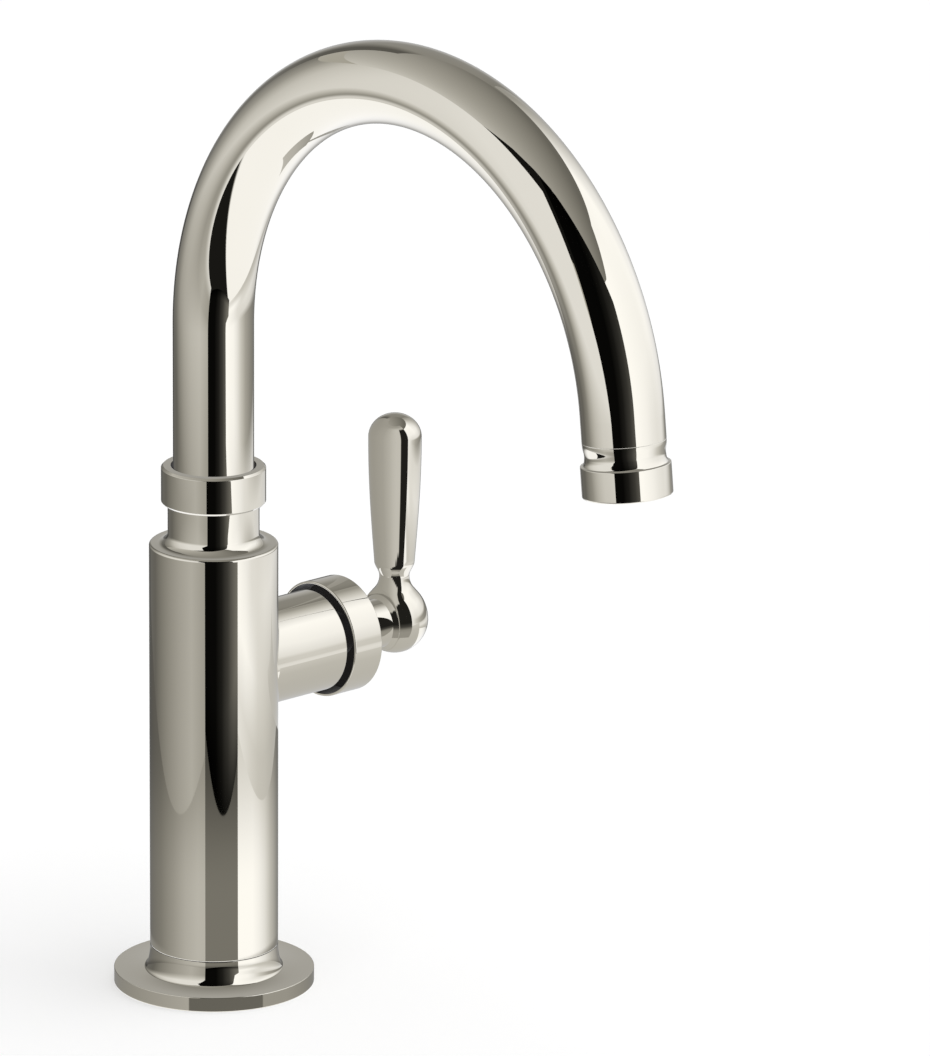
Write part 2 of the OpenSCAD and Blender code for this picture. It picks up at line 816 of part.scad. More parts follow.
module handle_hub() {
    socket = stem_square + drop_in;
    head = concat(
        [[0, hub_boss_x], [hub_boss_r, hub_boss_x], [hub_boss_r, cap_x1], [hub_r, cap_x1]],
        arc(0, ball_x, ball_r, -acos(hub_r / ball_r), -asin(ball_offset / ball_r), 4),
        [[0, seam_x]]
    );
    color(nickel) difference() {
        on_valve(0) rotate_extrude() polygon(head);
        on_valve(hub_boss_x - over)
            translate([-socket / 2, -socket / 2, 0])
                cube([socket, socket, stem_x1 + end_gap - hub_boss_x + over]);
        on_valve(spigot_x - end_gap)
            cylinder(h = lever_spigot_h + end_gap + over, r = lever_spigot_r + thread_gap);
        translate([set_screw_x, 0, valve_z - hub_r - over])
            cylinder(h = hub_r + over, d = set_screw_d + 2 * thread_gap, $fn = 48);
    }
}

module set_screw() {
    top = -stem_square / 2;
    bottom = -hub_r + 0.6;
    color(steel) translate([set_screw_x, 0, valve_z + bottom]) difference() {
        cylinder(h = top - bottom, d = set_screw_d, $fn = 48);
        translate([0, 0, -over])
            cylinder(h = 1.8 + over, d = set_screw_d / 2, $fn = 6);
    }
}

// The ball is a sphere below its middle and a taller oval above it
module lever() {
    top_r = lever_top_d / 2;
    foot_r = lever_foot_d / 2;
    waist_r = waist_d / 2;
    foot_z = waist_h + 4.4;
    top_z = lever_h - lever_dome_h;
    oval_h = ball_r + 1.3;
    profile = concat(
        arc(0, 0, ball_r, -90, 0, 14),
        [for (i = [1:6]) let (a = 43 * i / 6) [ball_r * cos(a), oval_h * sin(a)]],
        arc(waist_r + waist_cove_r, waist_h, waist_cove_r, 222, 180, 5),
        ess([waist_r, waist_h], [foot_r, foot_z], 6),
        [for (i = [1:7]) let (t = i / 7)
            [foot_r + (top_r - foot_r) * sin(90 * t), foot_z + (top_z - foot_z) * t]],
        [for (i = [1:10]) let (a = 9 * i)
            [top_r * cos(a), top_z + lever_dome_h * sin(a)]]
    );
    color(nickel) {
        difference() {
            translate([ball_x, 0, valve_z]) rotate_extrude() polygon(profile);
            on_valve(seam_x - 2 * ball_r) cylinder(h = 2 * ball_r, r = 2 * ball_r);
        }
        on_valve(spigot_x) cylinder(h = lever_spigot_h + end_gap, r = lever_spigot_r);
    }
}

deck_flange();
deck_gasket();
faucet_body();
mounting_shank();
rubber_washer();
steel_washer();
mounting_nut();
spout_nut();
glide_washer();
upper_bushing();
lower_bushing();
spout_tube();
swivel_post();
upper_oring();
lower_oring();
keeper_ring();
outlet_adapter();
outlet_housing();
aerator_washer();
aerator_insert();
inlet_screen();
outlet_screen();
cartridge_base();
port_seals();
cartridge_housing();
fixed_disc();
moving_disc();
disc_carrier();
cartridge_guide();
stem_pin();
cartridge_stem();
cartridge_nut();
handle_cap();
handle_hub();
set_screw();
lever();
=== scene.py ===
import bmesh
import bpy
import numpy as np
from mathutils import Matrix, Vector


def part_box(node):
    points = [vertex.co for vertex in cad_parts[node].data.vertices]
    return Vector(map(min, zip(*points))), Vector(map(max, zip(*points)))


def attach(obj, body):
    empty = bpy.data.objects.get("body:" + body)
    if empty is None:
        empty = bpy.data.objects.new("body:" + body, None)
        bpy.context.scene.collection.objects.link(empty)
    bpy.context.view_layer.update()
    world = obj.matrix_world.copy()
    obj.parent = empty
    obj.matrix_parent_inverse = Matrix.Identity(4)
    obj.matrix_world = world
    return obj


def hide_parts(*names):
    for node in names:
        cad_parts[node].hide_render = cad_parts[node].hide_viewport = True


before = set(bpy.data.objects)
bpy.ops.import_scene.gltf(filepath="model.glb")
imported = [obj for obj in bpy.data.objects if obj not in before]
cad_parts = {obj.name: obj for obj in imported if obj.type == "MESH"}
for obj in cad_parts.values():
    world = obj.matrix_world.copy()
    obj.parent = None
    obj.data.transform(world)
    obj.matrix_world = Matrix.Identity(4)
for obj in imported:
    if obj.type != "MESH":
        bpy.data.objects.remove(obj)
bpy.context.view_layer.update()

# ---- Camera ----
# A long lens about 2.7 m away, looking slightly down onto the faucet from its front left. All lengths in
# this script are in millimetres until they go into Blender, which works in metres.
MM = 0.001
view_azimuth = np.radians(-42.3403)
view_elevation = np.radians(16.6605)
view_roll = np.radians(0.3762)
view_distance = 2671.3
view_aside = 69.689
view_rise = 125.341
view_reach = 50000.0
sensor = 36.0
focal_pixels = 9614.545
picture_height = 1056

upright = np.array([0.0, 0.0, 1.0])
camera_side = np.array([np.sin(view_azimuth), -np.cos(view_azimuth), 0.0])
camera_right = np.array([np.cos(view_azimuth), np.sin(view_azimuth), 0.0])
camera_back = camera_side * np.cos(view_elevation) + upright * np.sin(view_elevation)
level_up = np.cross(camera_back, camera_right)
rolled_right = camera_right * np.cos(view_roll) + level_up * np.sin(view_roll)
rolled_up = level_up * np.cos(view_roll) - camera_right * np.sin(view_roll)

camera_data = bpy.data.cameras.new("camera")
camera_data.sensor_width = sensor
camera_data.lens = focal_pixels / picture_height * sensor
camera_data.clip_end = view_reach * MM
camera_pose = np.eye(4)
camera_pose[:3, :3] = np.stack([rolled_right, rolled_up, camera_back], 1)
camera_pose[:3, 3] = (view_aside * rolled_right + view_rise * rolled_up + view_distance * camera_back) * MM
camera = bpy.data.objects.new("camera", camera_data)
camera.matrix_world = Matrix(camera_pose.tolist())
bpy.context.scene.collection.objects.link(camera)
bpy.context.scene.camera = camera
bpy.context.scene.view_settings.view_transform = "Standard"


# ---- Floor ----
# The pale deck that the faucet stands on. It shows white to the camera, and keeps a soft shadow from the
# share of its colour that is lit. Polished metal shows the studio's cards in its place.
floor_radius = 12000.0
floor_middle_r = 200.0
floor_lit_share = 0.6
floor_glow = 1.05
floor_columns = 96
weld_decimals = 4


def weld(patches):
    """Joins patches, each a grid of points (rows, columns, 3), into points and faces. Points that agree
    to a ten-thousandth of a millimetre become one, and a quad that loses a corner that way becomes a
    triangle."""
    points = np.vstack([patch.reshape(-1, 3) for patch in patches])
    quads = []
    start = 0
    for patch in patches:
        rows, columns = patch.shape[:2]
        grid = start + np.arange(rows * columns).reshape(rows, columns)
        quad = [grid[:-1, :-1], grid[:-1, 1:], grid[1:, 1:], grid[1:, :-1]]
        quads.append(np.stack(quad, -1).reshape(-1, 4))
        start += rows * columns
    rounded_points = np.round(points, weld_decimals)
    first, number = np.unique(rounded_points, axis=0, return_index=True, return_inverse=True)[1:]
    corners = number.reshape(-1)[np.vstack(quads)]
    lost = corners == np.roll(corners, -1, 1)
    whole = corners[lost.sum(1) == 0]
    thin = lost.sum(1) == 1
    triangles = corners[thin][~lost[thin]].reshape(-1, 3)
    return points[first], [*whole.tolist(), *triangles.tolist()]


def piece(name, patches, material, crease=32):
    """One object from welded patches, with its faces turned outwards and smooth up to a crease in
    degrees. It doesn't show in polished metal, which shows the studio's cards alone."""
    points, faces = weld(patches)
    mesh = bpy.data.meshes.new(name)
    mesh.from_pydata((points * MM).tolist(), [], faces)
    working = bmesh.new()
    working.from_mesh(mesh)
    bmesh.ops.recalc_face_normals(working, faces=working.faces)
    if all(edge.is_manifold for edge in working.edges) and working.calc_volume(signed=True) < 0:
        bmesh.ops.reverse_faces(working, faces=working.faces)
    working.to_mesh(mesh)
    working.free()
    mesh.shade_smooth()
    mesh.set_sharp_from_angle(angle=np.radians(crease))
    mesh.materials.append(material)
    thing = bpy.data.objects.new(name, mesh)
    thing.visible_glossy = False
    bpy.context.scene.collection.objects.link(thing)
    return thing


def turned(outline, columns=256):
    """An outline of (radius, height) carried round the upright axis: x = r cos t, y = r sin t, z = h."""
    turn = np.radians(np.linspace(0.0, 360.0, columns + 1))
    radius, height = outline[:, :1], outline[:, 1:2]
    return np.stack([radius * np.cos(turn), radius * np.sin(turn), height + 0 * turn], -1)


floor_material = bpy.data.materials.new("floor_white")
floor_material.use_nodes = True
nodes, links = floor_material.node_tree.nodes, floor_material.node_tree.links
nodes.clear()
rays = nodes.new("ShaderNodeLightPath")
seen_or_glossy = nodes.new("ShaderNodeMath")
seen_or_glossy.operation = "MAXIMUM"
shown = nodes.new("ShaderNodeMath")
shown.operation = "MAXIMUM"
links.new(rays.outputs["Is Camera Ray"], seen_or_glossy.inputs[0])
links.new(rays.outputs["Is Glossy Ray"], seen_or_glossy.inputs[1])
links.new(seen_or_glossy.outputs[0], shown.inputs[0])
links.new(rays.outputs["Is Transmission Ray"], shown.inputs[1])
glow_share = nodes.new("ShaderNodeMath")
glow_share.operation = "MULTIPLY"
glow_share.inputs[1].default_value = 1 - floor_lit_share
links.new(shown.outputs[0], glow_share.inputs[0])
lit = nodes.new("ShaderNodeBsdfDiffuse")
lit.inputs["Color"].default_value = (0.96, 0.96, 0.96, 1)
glow = nodes.new("ShaderNodeEmission")
glow.inputs["Strength"].default_value = floor_glow
blend = nodes.new("ShaderNodeMixShader")
links.new(glow_share.outputs[0], blend.inputs["Fac"])
links.new(lit.outputs[0], blend.inputs[1])
links.new(glow.outputs[0], blend.inputs[2])
links.new(blend.outputs[0], nodes.new("ShaderNodeOutputMaterial").inputs["Surface"])

floor_outline = np.array([[0.0, 0.0], [floor_middle_r, 0.0], [floor_radius, 0.0]])
floor = piece("floor", [turned(floor_outline, floor_columns)], floor_material)


# ---- Studio ----
# A broad soft lamp high on the right gives the shadow, and the sky gives the rest of the light. Polished
# metal shows what stands round it, so a ring of cards stands round the faucet for reflections only: a
# black flag in front, a grey wall to the left, a soft box to the right, a pale floor well below the deck
# and a grey ceiling. Three small cards close to the handle serve the lever, its ball and the valve.
sky_strength = 0.62
room_level = 0.55
lamp_strength = 1.5
lamp_spread = 60.0
lamp_azimuth = 84.0
lamp_elevation = 62.0
card_floor_z = -115.0
ceiling_z = 1150.0
ceiling_reach = 1600.0
tint_start = 0.25
tint_green = 0.035
tint_blue = 0.16


def aside(azimuth):
    """Level unit vector at an azimuth in degrees: 0 points to the camera's side and 90 to its right."""
    turn = np.radians(azimuth)
    return camera_side * np.cos(turn)[..., None] + camera_right * np.sin(turn)[..., None]


def compass(points):
    """Azimuth in degrees of points about the faucet's axis, as aside() takes it, and their distance from
    it."""
    front, right = points @ camera_side, points @ camera_right
    return np.degrees(np.arctan2(right, front)), np.hypot(front, right)


def smooth(value, low, high):
    """0 below low, 1 above high, and 3t^2 - 2t^3 between."""
    t = np.clip((value - low) / (high - low), 0, 1)
    return t * t * (3 - 2 * t)


def card(name, points, light, grazing=None, turn_over=(0.6, 0.665), inner_only=False):
    """A sheet seen only by reflections. light gives its glow from its points, and grazing, where given,
    what it shows instead to a flatter view, where 1 - the cosine of the view passes through turn_over.
    Bright light is a little cooler than dim light. With inner_only it glows on its inner side and is
    clear from the outer one."""
    material = bpy.data.materials.new(name)
    material.use_nodes = True
    nodes, links = material.node_tree.nodes, material.node_tree.links
    nodes.clear()
    sheet = piece(name, [points], material)
    place = np.empty(3 * len(sheet.data.vertices), np.float32)
    sheet.data.vertices.foreach_get("co", place)
    place = place.reshape(-1, 3) / MM
    outputs = []
    for layer, glow_at in (("light", light), ("grazing", grazing or light)):
        level = glow_at(place)
        cool = np.clip(level - tint_start, 0, 1)
        green = level * (1 + tint_green * cool)
        blue = level * (1 + tint_blue * cool)
        colour = np.stack([level, green, blue, 1 + 0 * level], -1)
        sheet.data.attributes.new(layer, "FLOAT_COLOR", "POINT").data.foreach_set("color", colour.ravel())
        reader = nodes.new("ShaderNodeAttribute")
        reader.attribute_name = layer
        outputs.append(reader.outputs["Color"])
    share = nodes.new("ShaderNodeMapRange")
    share.interpolation_type = "SMOOTHSTEP"
    share.inputs["From Min"].default_value = turn_over[0]
    share.inputs["From Max"].default_value = turn_over[1]
    links.new(nodes.new("ShaderNodeLayerWeight").outputs["Facing"], share.inputs["Value"])
    choose = nodes.new("ShaderNodeMix")
    choose.data_type = "RGBA"
    mix = {socket.identifier: socket for socket in choose.inputs}
    links.new(share.outputs["Result"], mix["Factor_Float"])
    links.new(outputs[0], mix["A_Color"])
    links.new(outputs[1], mix["B_Color"])
    shown = nodes.new("ShaderNodeEmission")
    links.new(next(s for s in choose.outputs if s.identifier == "Result_Color"), shown.inputs["Color"])
    if inner_only:
        glow = shown
        shown = nodes.new("ShaderNodeMixShader")
        links.new(nodes.new("ShaderNodeNewGeometry").outputs["Backfacing"], shown.inputs["Fac"])
        links.new(nodes.new("ShaderNodeBsdfTransparent").outputs[0], shown.inputs[1])
        links.new(glow.outputs[0], shown.inputs[2])
    links.new(shown.outputs[0], nodes.new("ShaderNodeOutputMaterial").inputs["Surface"])
    sheet.visible_glossy = True
    sheet.visible_camera = False
    sheet.visible_diffuse = False
    sheet.visible_transmission = False
    sheet.visible_volume_scatter = False
    sheet.visible_shadow = False


def wall(azimuths, middle, radius, beyond, heights):
    """An upright sheet along a circle: the distance in the middle is `middle`, and the circle of `radius`
    has its centre on the far side of the axis, so distance = sqrt(radius^2 - (c sin a)^2) - c cos a."""
    from_middle = np.radians(azimuths - beyond)
    back = radius - middle
    distance = np.sqrt(radius**2 - (back * np.sin(from_middle)) ** 2) - back * np.cos(from_middle)
    return aside(azimuths) * distance[..., None] + upright * heights[..., None]


def levels_at(points, stops, heights, levels):
    """Levels given at stops of azimuth, with one row for each height, and blended evenly between."""
    azimuth = compass(points)[0]
    rows = np.stack([np.interp(azimuth, stops, row) for row in levels])
    place = np.interp(points[:, 2], heights, np.arange(len(heights)))
    first = np.minimum(place.astype(int), len(heights) - 2)
    share = place - first
    pick = np.arange(len(points))
    return rows[first, pick] * (1 - share) + rows[first + 1, pick] * share


# The flag is a flat sheet square to its azimuth. Its right edge leans inwards from its foot up, given by
# heights and places along it, and its top falls to the right, given by places along it and heights.
flag_azimuth = 17.9
flag_distance = 525.0
flag_left = -560.0
flag_right_edge = [-41, 0, 100], [261, 180, 160]
flag_top_edge = [-560, -400, -214, 170], [1120, 1050, 927, 441]
flag_normal = aside(np.array(flag_azimuth))
flag_along = aside(np.array(flag_azimuth + 90))
flag_rows = np.array([card_floor_z, -80, -41, -20, 0, 50, 100, 100])[:, None]
flag_right = np.interp(flag_rows, *flag_right_edge)
flag_s = flag_left + (flag_right - flag_left) * np.linspace(0, 1, 73)
flag_z = flag_rows + 0 * flag_s
flag_z[-1] = np.interp(flag_s[-1], *flag_top_edge)
flag_points = flag_normal * flag_distance + flag_along * flag_s[..., None] + upright * flag_z[..., None]


def flag_light(points):
    """Black on its left, and a dark grey haze that grows to its right and fades at its foot and its top."""
    haze = np.interp(points @ flag_along, [-121, -20, 80, 186, 261], [0.004, 0.018, 0.068, 0.193, 0.27])
    foot_fade = 0.85 * smooth(-points[:, 2], 88, 112)
    top_fade = 0.8 * smooth(points[:, 2], 100, 400)
    return haze * (1 - foot_fade) * (1 - top_fade)


def left_upper_light(points):
    """Pale grey that darkens towards the back."""
    return np.interp(compass(points)[0], [-150, -130, -110, -90, -65], [0.25, 0.45, 0.8, 1.0, 1.106])


def left_light(points):
    """Grey that darkens towards the back, and turns into the pale grey higher up."""
    low = np.interp(compass(points)[0], [-125, -88, -61, -38, -14], [0.18, 0.385, 0.533, 0.64, 0.5])
    high_share = np.clip((points[:, 2] + 10) / 150, 0, 1)
    return low + (left_upper_light(points) - low) * high_share


def right_light(points):
    """A soft box that is white near the flag and falls off towards the back, unevenly over its height."""
    return levels_at(
        points,
        [40, 60, 72, 86, 104, 124, 150],
        [-100, -75, -45, -15, 5, 65, 110, 274, 600],
        [
            [1.2, 1.05, 0.95, 0.85, 0.8, 0.7, 0.6],
            [1.5, 1.45, 1.3, 1.05, 0.95, 0.85, 0.7],
            [1.5, 1.3, 1.12, 1.1, 1.15, 1.12, 0.9],
            [1.5, 1.3, 1.12, 1.05, 1.05, 1.0, 0.8],
            [1.5, 1.42, 1.2, 0.85, 0.55, 0.4, 0.25],
            [1.5, 1.42, 1.2, 0.85, 0.55, 0.4, 0.25],
            [1.5, 1.35, 1.2, 1.12, 1.15, 1.1, 0.7],
            [1.5, 1.42, 1.38, 1.35, 1.42, 1.3, 0.6],
            [1.5, 1.45, 1.45, 1.48, 1.5, 1.1, 0.45],
        ],
    )


floor_cream = 1.38
floor_far_grey = 0.48
floor_far_fade = 200, 650
floor_black_share = 0.99
floor_edge_side = aside(np.array(-18.4))
floor_edge_fade = 296, 306
floor_edge_span = -75, 44


def floor_light(points):
    """Cream, greyer far behind the faucet, and black beyond a straight edge in front."""
    front = points @ camera_side
    level = floor_cream + 0 * front
    level -= (level - floor_far_grey) * smooth(-front, *floor_far_fade)
    azimuth = compass(points)[0]
    in_front = (azimuth > floor_edge_span[0]) * (azimuth < floor_edge_span[1])
    beyond = smooth(points @ floor_edge_side, *floor_edge_fade) * in_front
    return level * (1 - floor_black_share * beyond)


def back_light(points):
    """Dark grey with a paler stretch half way up, and darker on the left."""
    level = np.interp(points[:, 2], [60, 150, 380, 560], [0.2, 0.57, 0.5, 0.35])
    return level * np.interp(compass(points)[0] % 360, [150, 165, 188, 200], [0.7, 1.0, 1.0, 0.4])


ceiling_grey = 0.39
ceiling_slope = 0.0003
ceiling_pale_side = aside(np.array(-75.0))


def ceiling_light(points):
    """Mid grey that lightens towards the left."""
    return np.clip(ceiling_grey + ceiling_slope * (points @ ceiling_pale_side), 0.2, 0.8)


def black_light(points):
    """Almost black."""
    return 0.01 + 0 * points[:, 0]


card("flag_front", flag_points, flag_light)

# The left wall's front edge leans back between two heights, and its top rises towards the front.
left_start = -150.0
left_rows = np.array([card_floor_z, -80, -40, -10, 30, 75, 100, 140, 200, 250, 300, 500, 500])[:, None]
left_end = np.interp(left_rows, [100, 300], [-13.8, -27])
left_azimuths = left_start + (left_end - left_start) * np.linspace(0, 1, 69)
left_z = left_rows + 0 * left_azimuths
left_z[-1] = np.interp(left_azimuths[-1], [-150, -103, -54], [540, 587, 683])
left_points = wall(left_azimuths, middle=522, radius=800, beyond=-63, heights=left_z)
card("wall_left", left_points, left_light, left_upper_light, turn_over=(0.115, 0.165))

# Behind the left wall a black arc stands higher, and shows above it.
arc_azimuths = np.linspace(-75, -10, 40) + np.zeros((2, 1))
arc_top = np.interp(arc_azimuths[0], [-75, -63, -45, -27], [700, 800, 1030, 1145])
arc_foot = 450.0
arc_z = np.stack([arc_foot + 0 * arc_top, arc_top])
card("flag_arc", wall(arc_azimuths, middle=700, radius=700, beyond=0, heights=arc_z), black_light)

# The soft box stands on the right, and its top rises towards the front.
right_rows = np.array(
    [card_floor_z, -100, -88, -75, -60, -45, -15, 5, 65, 85, 110, 190, 274, 400, 600, 600]
)[:, None]
right_azimuths = np.linspace(30, 155, 63) + 0 * right_rows
right_z = right_rows + 0 * right_azimuths
right_z[-1] = np.interp(right_azimuths[-1], [37, 60], [601, 795])
right_points = wall(right_azimuths, middle=530, radius=790, beyond=100, heights=right_z)
card("soft_box_right", right_points, right_light)

back_rows = np.array([card_floor_z, 60, 150, 380, 560, 800, 1200])[:, None]
back_azimuths = np.linspace(150, 210, 31) + 0 * back_rows
back_z = back_rows + 0 * back_azimuths
card("wall_back", wall(back_azimuths, middle=900, radius=900, beyond=180, heights=back_z), back_light)

ceiling_line = np.linspace(-ceiling_reach, ceiling_reach, 17)
ceiling_x, ceiling_y = np.meshgrid(ceiling_line, ceiling_line)
card("ceiling", np.stack([ceiling_x, ceiling_y, 0 * ceiling_x + ceiling_z], -1), ceiling_light)

# The card under the deck has four zones. To a flat view each one shows its own levels, at stops of
# azimuth, dimmed over far_fade by its share. Nearer than near_fade all show the near levels.
floor_reach = 1200.0
far_fade = 440, 600
near_fade = 373, 380
near_stops = [-160, -60, -27, -26, 57, 58, 90, 150]
near_levels = [0.3, 0.5, 0.58, 0.19, 0.2, 0.46, 0.46, 0.3]
left_stops = [-150, -107, -76, -50, -27, -16]
left_levels = [0.2, 0.305, 0.46, 0.63, 0.72, 0.71]
floor_zones = (
    ("floor_left", -165, -13.8, left_stops, left_levels, 0.4),
    ("floor_front", -13.8, 44.2, [-16, 37], [0.27, 0.27], 0.65),
    ("floor_right", 44.2, 165, [74, 88, 104, 123, 152], [1.5, 1.36, 1.13, 0.73, 0.33], 0.33),
    ("floor_back", 165, 195, [165], [0.2], 0),
)
for name, zone_start, zone_end, stops, levels, dimming in floor_zones:
    zone_azimuths = np.linspace(zone_start, zone_end, 151)
    zone_radii = np.linspace(0, floor_reach, 181)[:, None, None]

    def flat_light(points, stops=stops, levels=levels, dimming=dimming):
        """Levels at stops of azimuth, dimmed away from the faucet. Close to it other levels take over,
        which the flange's rim shows."""
        azimuth, distance = compass(points)
        far = np.interp(azimuth, stops, levels) * (1 - dimming * smooth(distance, *far_fade))
        near = np.interp(azimuth, near_stops, near_levels)
        return near + (far - near) * smooth(distance, *near_fade)

    card(name, aside(zone_azimuths) * zone_radii + upright * card_floor_z, floor_light, flat_light)

# A small card stands close round the lever: grey, with a black strip towards the camera's right. Below it
# a narrower one serves the ball.
lever_card_centre = np.array([66.6, 0.0, 0.0])
lever_card_r = 15.5
lever_card_stops = [-133, -80, -41.5, -29.5, -17.8, -6.2, 5.4]
lever_card_greys = [0.45, 0.49, 0.55, 0.61, 0.67, 0.75, 0.8]
lever_card_black = 0.02


def round_lever(azimuths, heights):
    """An upright sheet on a circle round the lever, with a row for each height."""
    rows = np.array(heights)[:, None]
    azimuths = azimuths + 0 * rows
    heights = rows + 0 * azimuths
    return lever_card_centre + wall(azimuths, lever_card_r, lever_card_r, beyond=0, heights=heights)


def lever_card_light(points):
    """Grey that lightens to the right, then black up to its right edge, wider low down and open at the
    top."""
    azimuth = compass(points - lever_card_centre)[0]
    azimuth = np.where(azimuth > 90, azimuth - 360, azimuth)
    z = points[:, 2]
    grey = np.interp(azimuth, lever_card_stops, lever_card_greys)
    grey += (0.5 - grey) * smooth(z, 160, 172)
    edge = np.interp(z, [100, 108], [-12, 20])
    black = smooth(azimuth, edge - 1, edge + 1) * (1 - smooth(z, 159, 163))
    return grey + (lever_card_black - grey) * black


lever_card_heights = [96, 98, 100, 102, 104, 106, 108, 110, 130, 150, 159, 161, 163, 166, 170, 175, 185]
lever_card_sheet = round_lever(np.linspace(-140, 45.5, 186), lever_card_heights)
card("lever_card", lever_card_sheet, lever_card_light, inner_only=True)


def ball_card_light(points):
    """Dark grey at its foot, and black above."""
    return 0.43 - 0.41 * smooth(points[:, 2], 87, 91)


ball_card_sheet = round_lever(np.linspace(-24, 45.5, 70), [80, 86, 88, 90, 92, 94, 96])
card("ball_card", ball_card_sheet, ball_card_light, inner_only=True)

# A grey trough under the valve and the ball: across it the angle goes from the front edge down and to the
# back.
trough_r = 22.0
trough_axis_z = 91.3
trough_turn = np.radians(np.linspace(8, 165, 80))
trough_x = np.array([[19.0], [45.0], [84.0]]) + 0 * trough_turn
trough_y = -trough_r * np.cos(trough_turn) + 0 * trough_x
trough_z = trough_axis_z - trough_r * np.sin(trough_turn) + 0 * trough_x


def trough_light(points):
    """Light grey at its front edge and darker below and behind."""
    turn = np.degrees(np.arctan2(trough_axis_z - points[:, 2], -points[:, 1]))
    return np.interp(turn, [8, 20, 40, 90, 130, 165], [0.85, 0.75, 0.71, 0.66, 0.55, 0.45])


card("trough", np.stack([trough_x, trough_y, trough_z], -1), trough_light, inner_only=True)

world = bpy.data.worlds.new("studio")
world.use_nodes = True
bpy.context.scene.world = world
nodes, links = world.node_tree.nodes, world.node_tree.links
nodes.clear()
rays = nodes.new("ShaderNodeLightPath")
skies = []
for level in (1.0, sky_strength, room_level):
    background = nodes.new("ShaderNodeBackground")
    background.inputs["Color"].default_value = (1, 1, 1, 1)
    background.inputs["Strength"].default_value = level
    skies.append(background)
sky_white, sky_soft, sky_room = skies
not_glossy = nodes.new("ShaderNodeMixShader")
sky = nodes.new("ShaderNodeMixShader")
links.new(rays.outputs["Is Glossy Ray"], not_glossy.inputs["Fac"])
links.new(sky_soft.outputs[0], not_glossy.inputs[1])
links.new(sky_room.outputs[0], not_glossy.inputs[2])
links.new(rays.outputs["Is Camera Ray"], sky.inputs["Fac"])
links.new(not_glossy.outputs[0], sky.inputs[1])
links.new(sky_white.outputs[0], sky.inputs[2])
links.new(sky.outputs[0], nodes.new("ShaderNodeOutputWorld").inputs["Surface"])

lamp_data = bpy.data.lights.new("soft_lamp", "SUN")
lamp_data.energy = lamp_strength
lamp_data.angle = np.radians(lamp_spread)
lamp = bpy.data.objects.new("soft_lamp", lamp_data)
lamp_tilt = np.radians(lamp_elevation)
lamp_axis = aside(np.array(lamp_azimuth)) * np.cos(lamp_tilt) + upright * np.sin(lamp_tilt)
lamp_side = np.cross(upright, lamp_axis) / np.linalg.norm(np.cross(upright, lamp_axis))
lamp_pose = np.eye(4)
lamp_pose[:3, :3] = np.stack([lamp_side, np.cross(lamp_axis, lamp_side), lamp_axis], 1)
lamp_pose[:3, 3] = lamp_axis
lamp.matrix_world = Matrix(lamp_pose.tolist())
lamp.visible_glossy = False
bpy.context.scene.collection.objects.link(lamp)


# ---- Deck flange ----
# The round foot plate that covers the hole in the deck. It is turned from brass and plated with nickel,
# then polished to a mirror, and the body is screwed down onto its flared neck.
flange_rim_z = 4.2
flare_r = 19.4
flange_bore_r = 15.4
gasket_in_r = 16.6
flange_edge_rounding = 0.15
flange_foot_rounding = 0.25
flange_bore_rounding = 0.2
flange_cove_steps = 14
grain_share = 0.4
# Where the near-black painted shade starts: at the bore, at the foot and under the body's joint.
shade_margin = 0.1
shaded_foot_z = 0.02
shaded_joint_depth = 0.08


def span(node):
    """Lowest and highest corner of a CAD node, in millimetres."""
    low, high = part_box(node)
    return np.round(np.array(low) / MM, 4), np.round(np.array(high) / MM, 4)


def outline(corners, closed=True, steps=6, beside=0.05):
    """Points of a section through corners of (radius, height, rounding). A corner with a rounding becomes
    the arc that touches both its sides: its centre is the corner + (u + v) / |u + v| * rounding /
    sin(half angle), with u and v along the sides. A point just beside each end of the arc keeps the
    stretches between arcs flat."""
    corners = np.array(corners, float)
    places = corners[:, :2]
    found = []
    befores, afters = np.roll(places, 1, 0), np.roll(places, -1, 0)
    for place, last, following, rounding in zip(places, befores, afters, corners[:, 2]):
        if rounding == 0:
            found.append(place[None])
            continue
        u = (last - place) / np.linalg.norm(last - place)
        v = (following - place) / np.linalg.norm(following - place)
        half = np.arccos(np.clip(u @ v, -1, 1)) / 2
        reach = rounding / np.tan(half)
        centre = place + (u + v) / np.linalg.norm(u + v) * rounding / np.sin(half)
        start, end = place + u * reach - centre, place + v * reach - centre
        sweep = np.pi - 2 * half
        t = np.linspace(0, 1, steps + 1)[:, None]
        arc = centre + (np.sin((1 - t) * sweep) * start + np.sin(t * sweep) * end) / np.sin(sweep)
        found.append(np.vstack([arc[0] + u * beside, arc, arc[-1] + v * beside]))
    if closed:
        found.append(found[0][:1])
    return np.vstack(found)


def curve(points):
    """Corners without rounding, for a stretch of a section that is a curve already."""
    return [(radius, height, 0) for radius, height in points]


def finish(name, **sockets):
    """A new material whose shader has these plain values. Spaces in the sockets' names are underscores
    here."""
    material = bpy.data.materials.new(name)
    material.use_nodes = True
    shader = material.node_tree.nodes["Principled BSDF"]
    for socket, value in sockets.items():
        shader.inputs[socket.replace("_", " ")].default_value = value
    return material


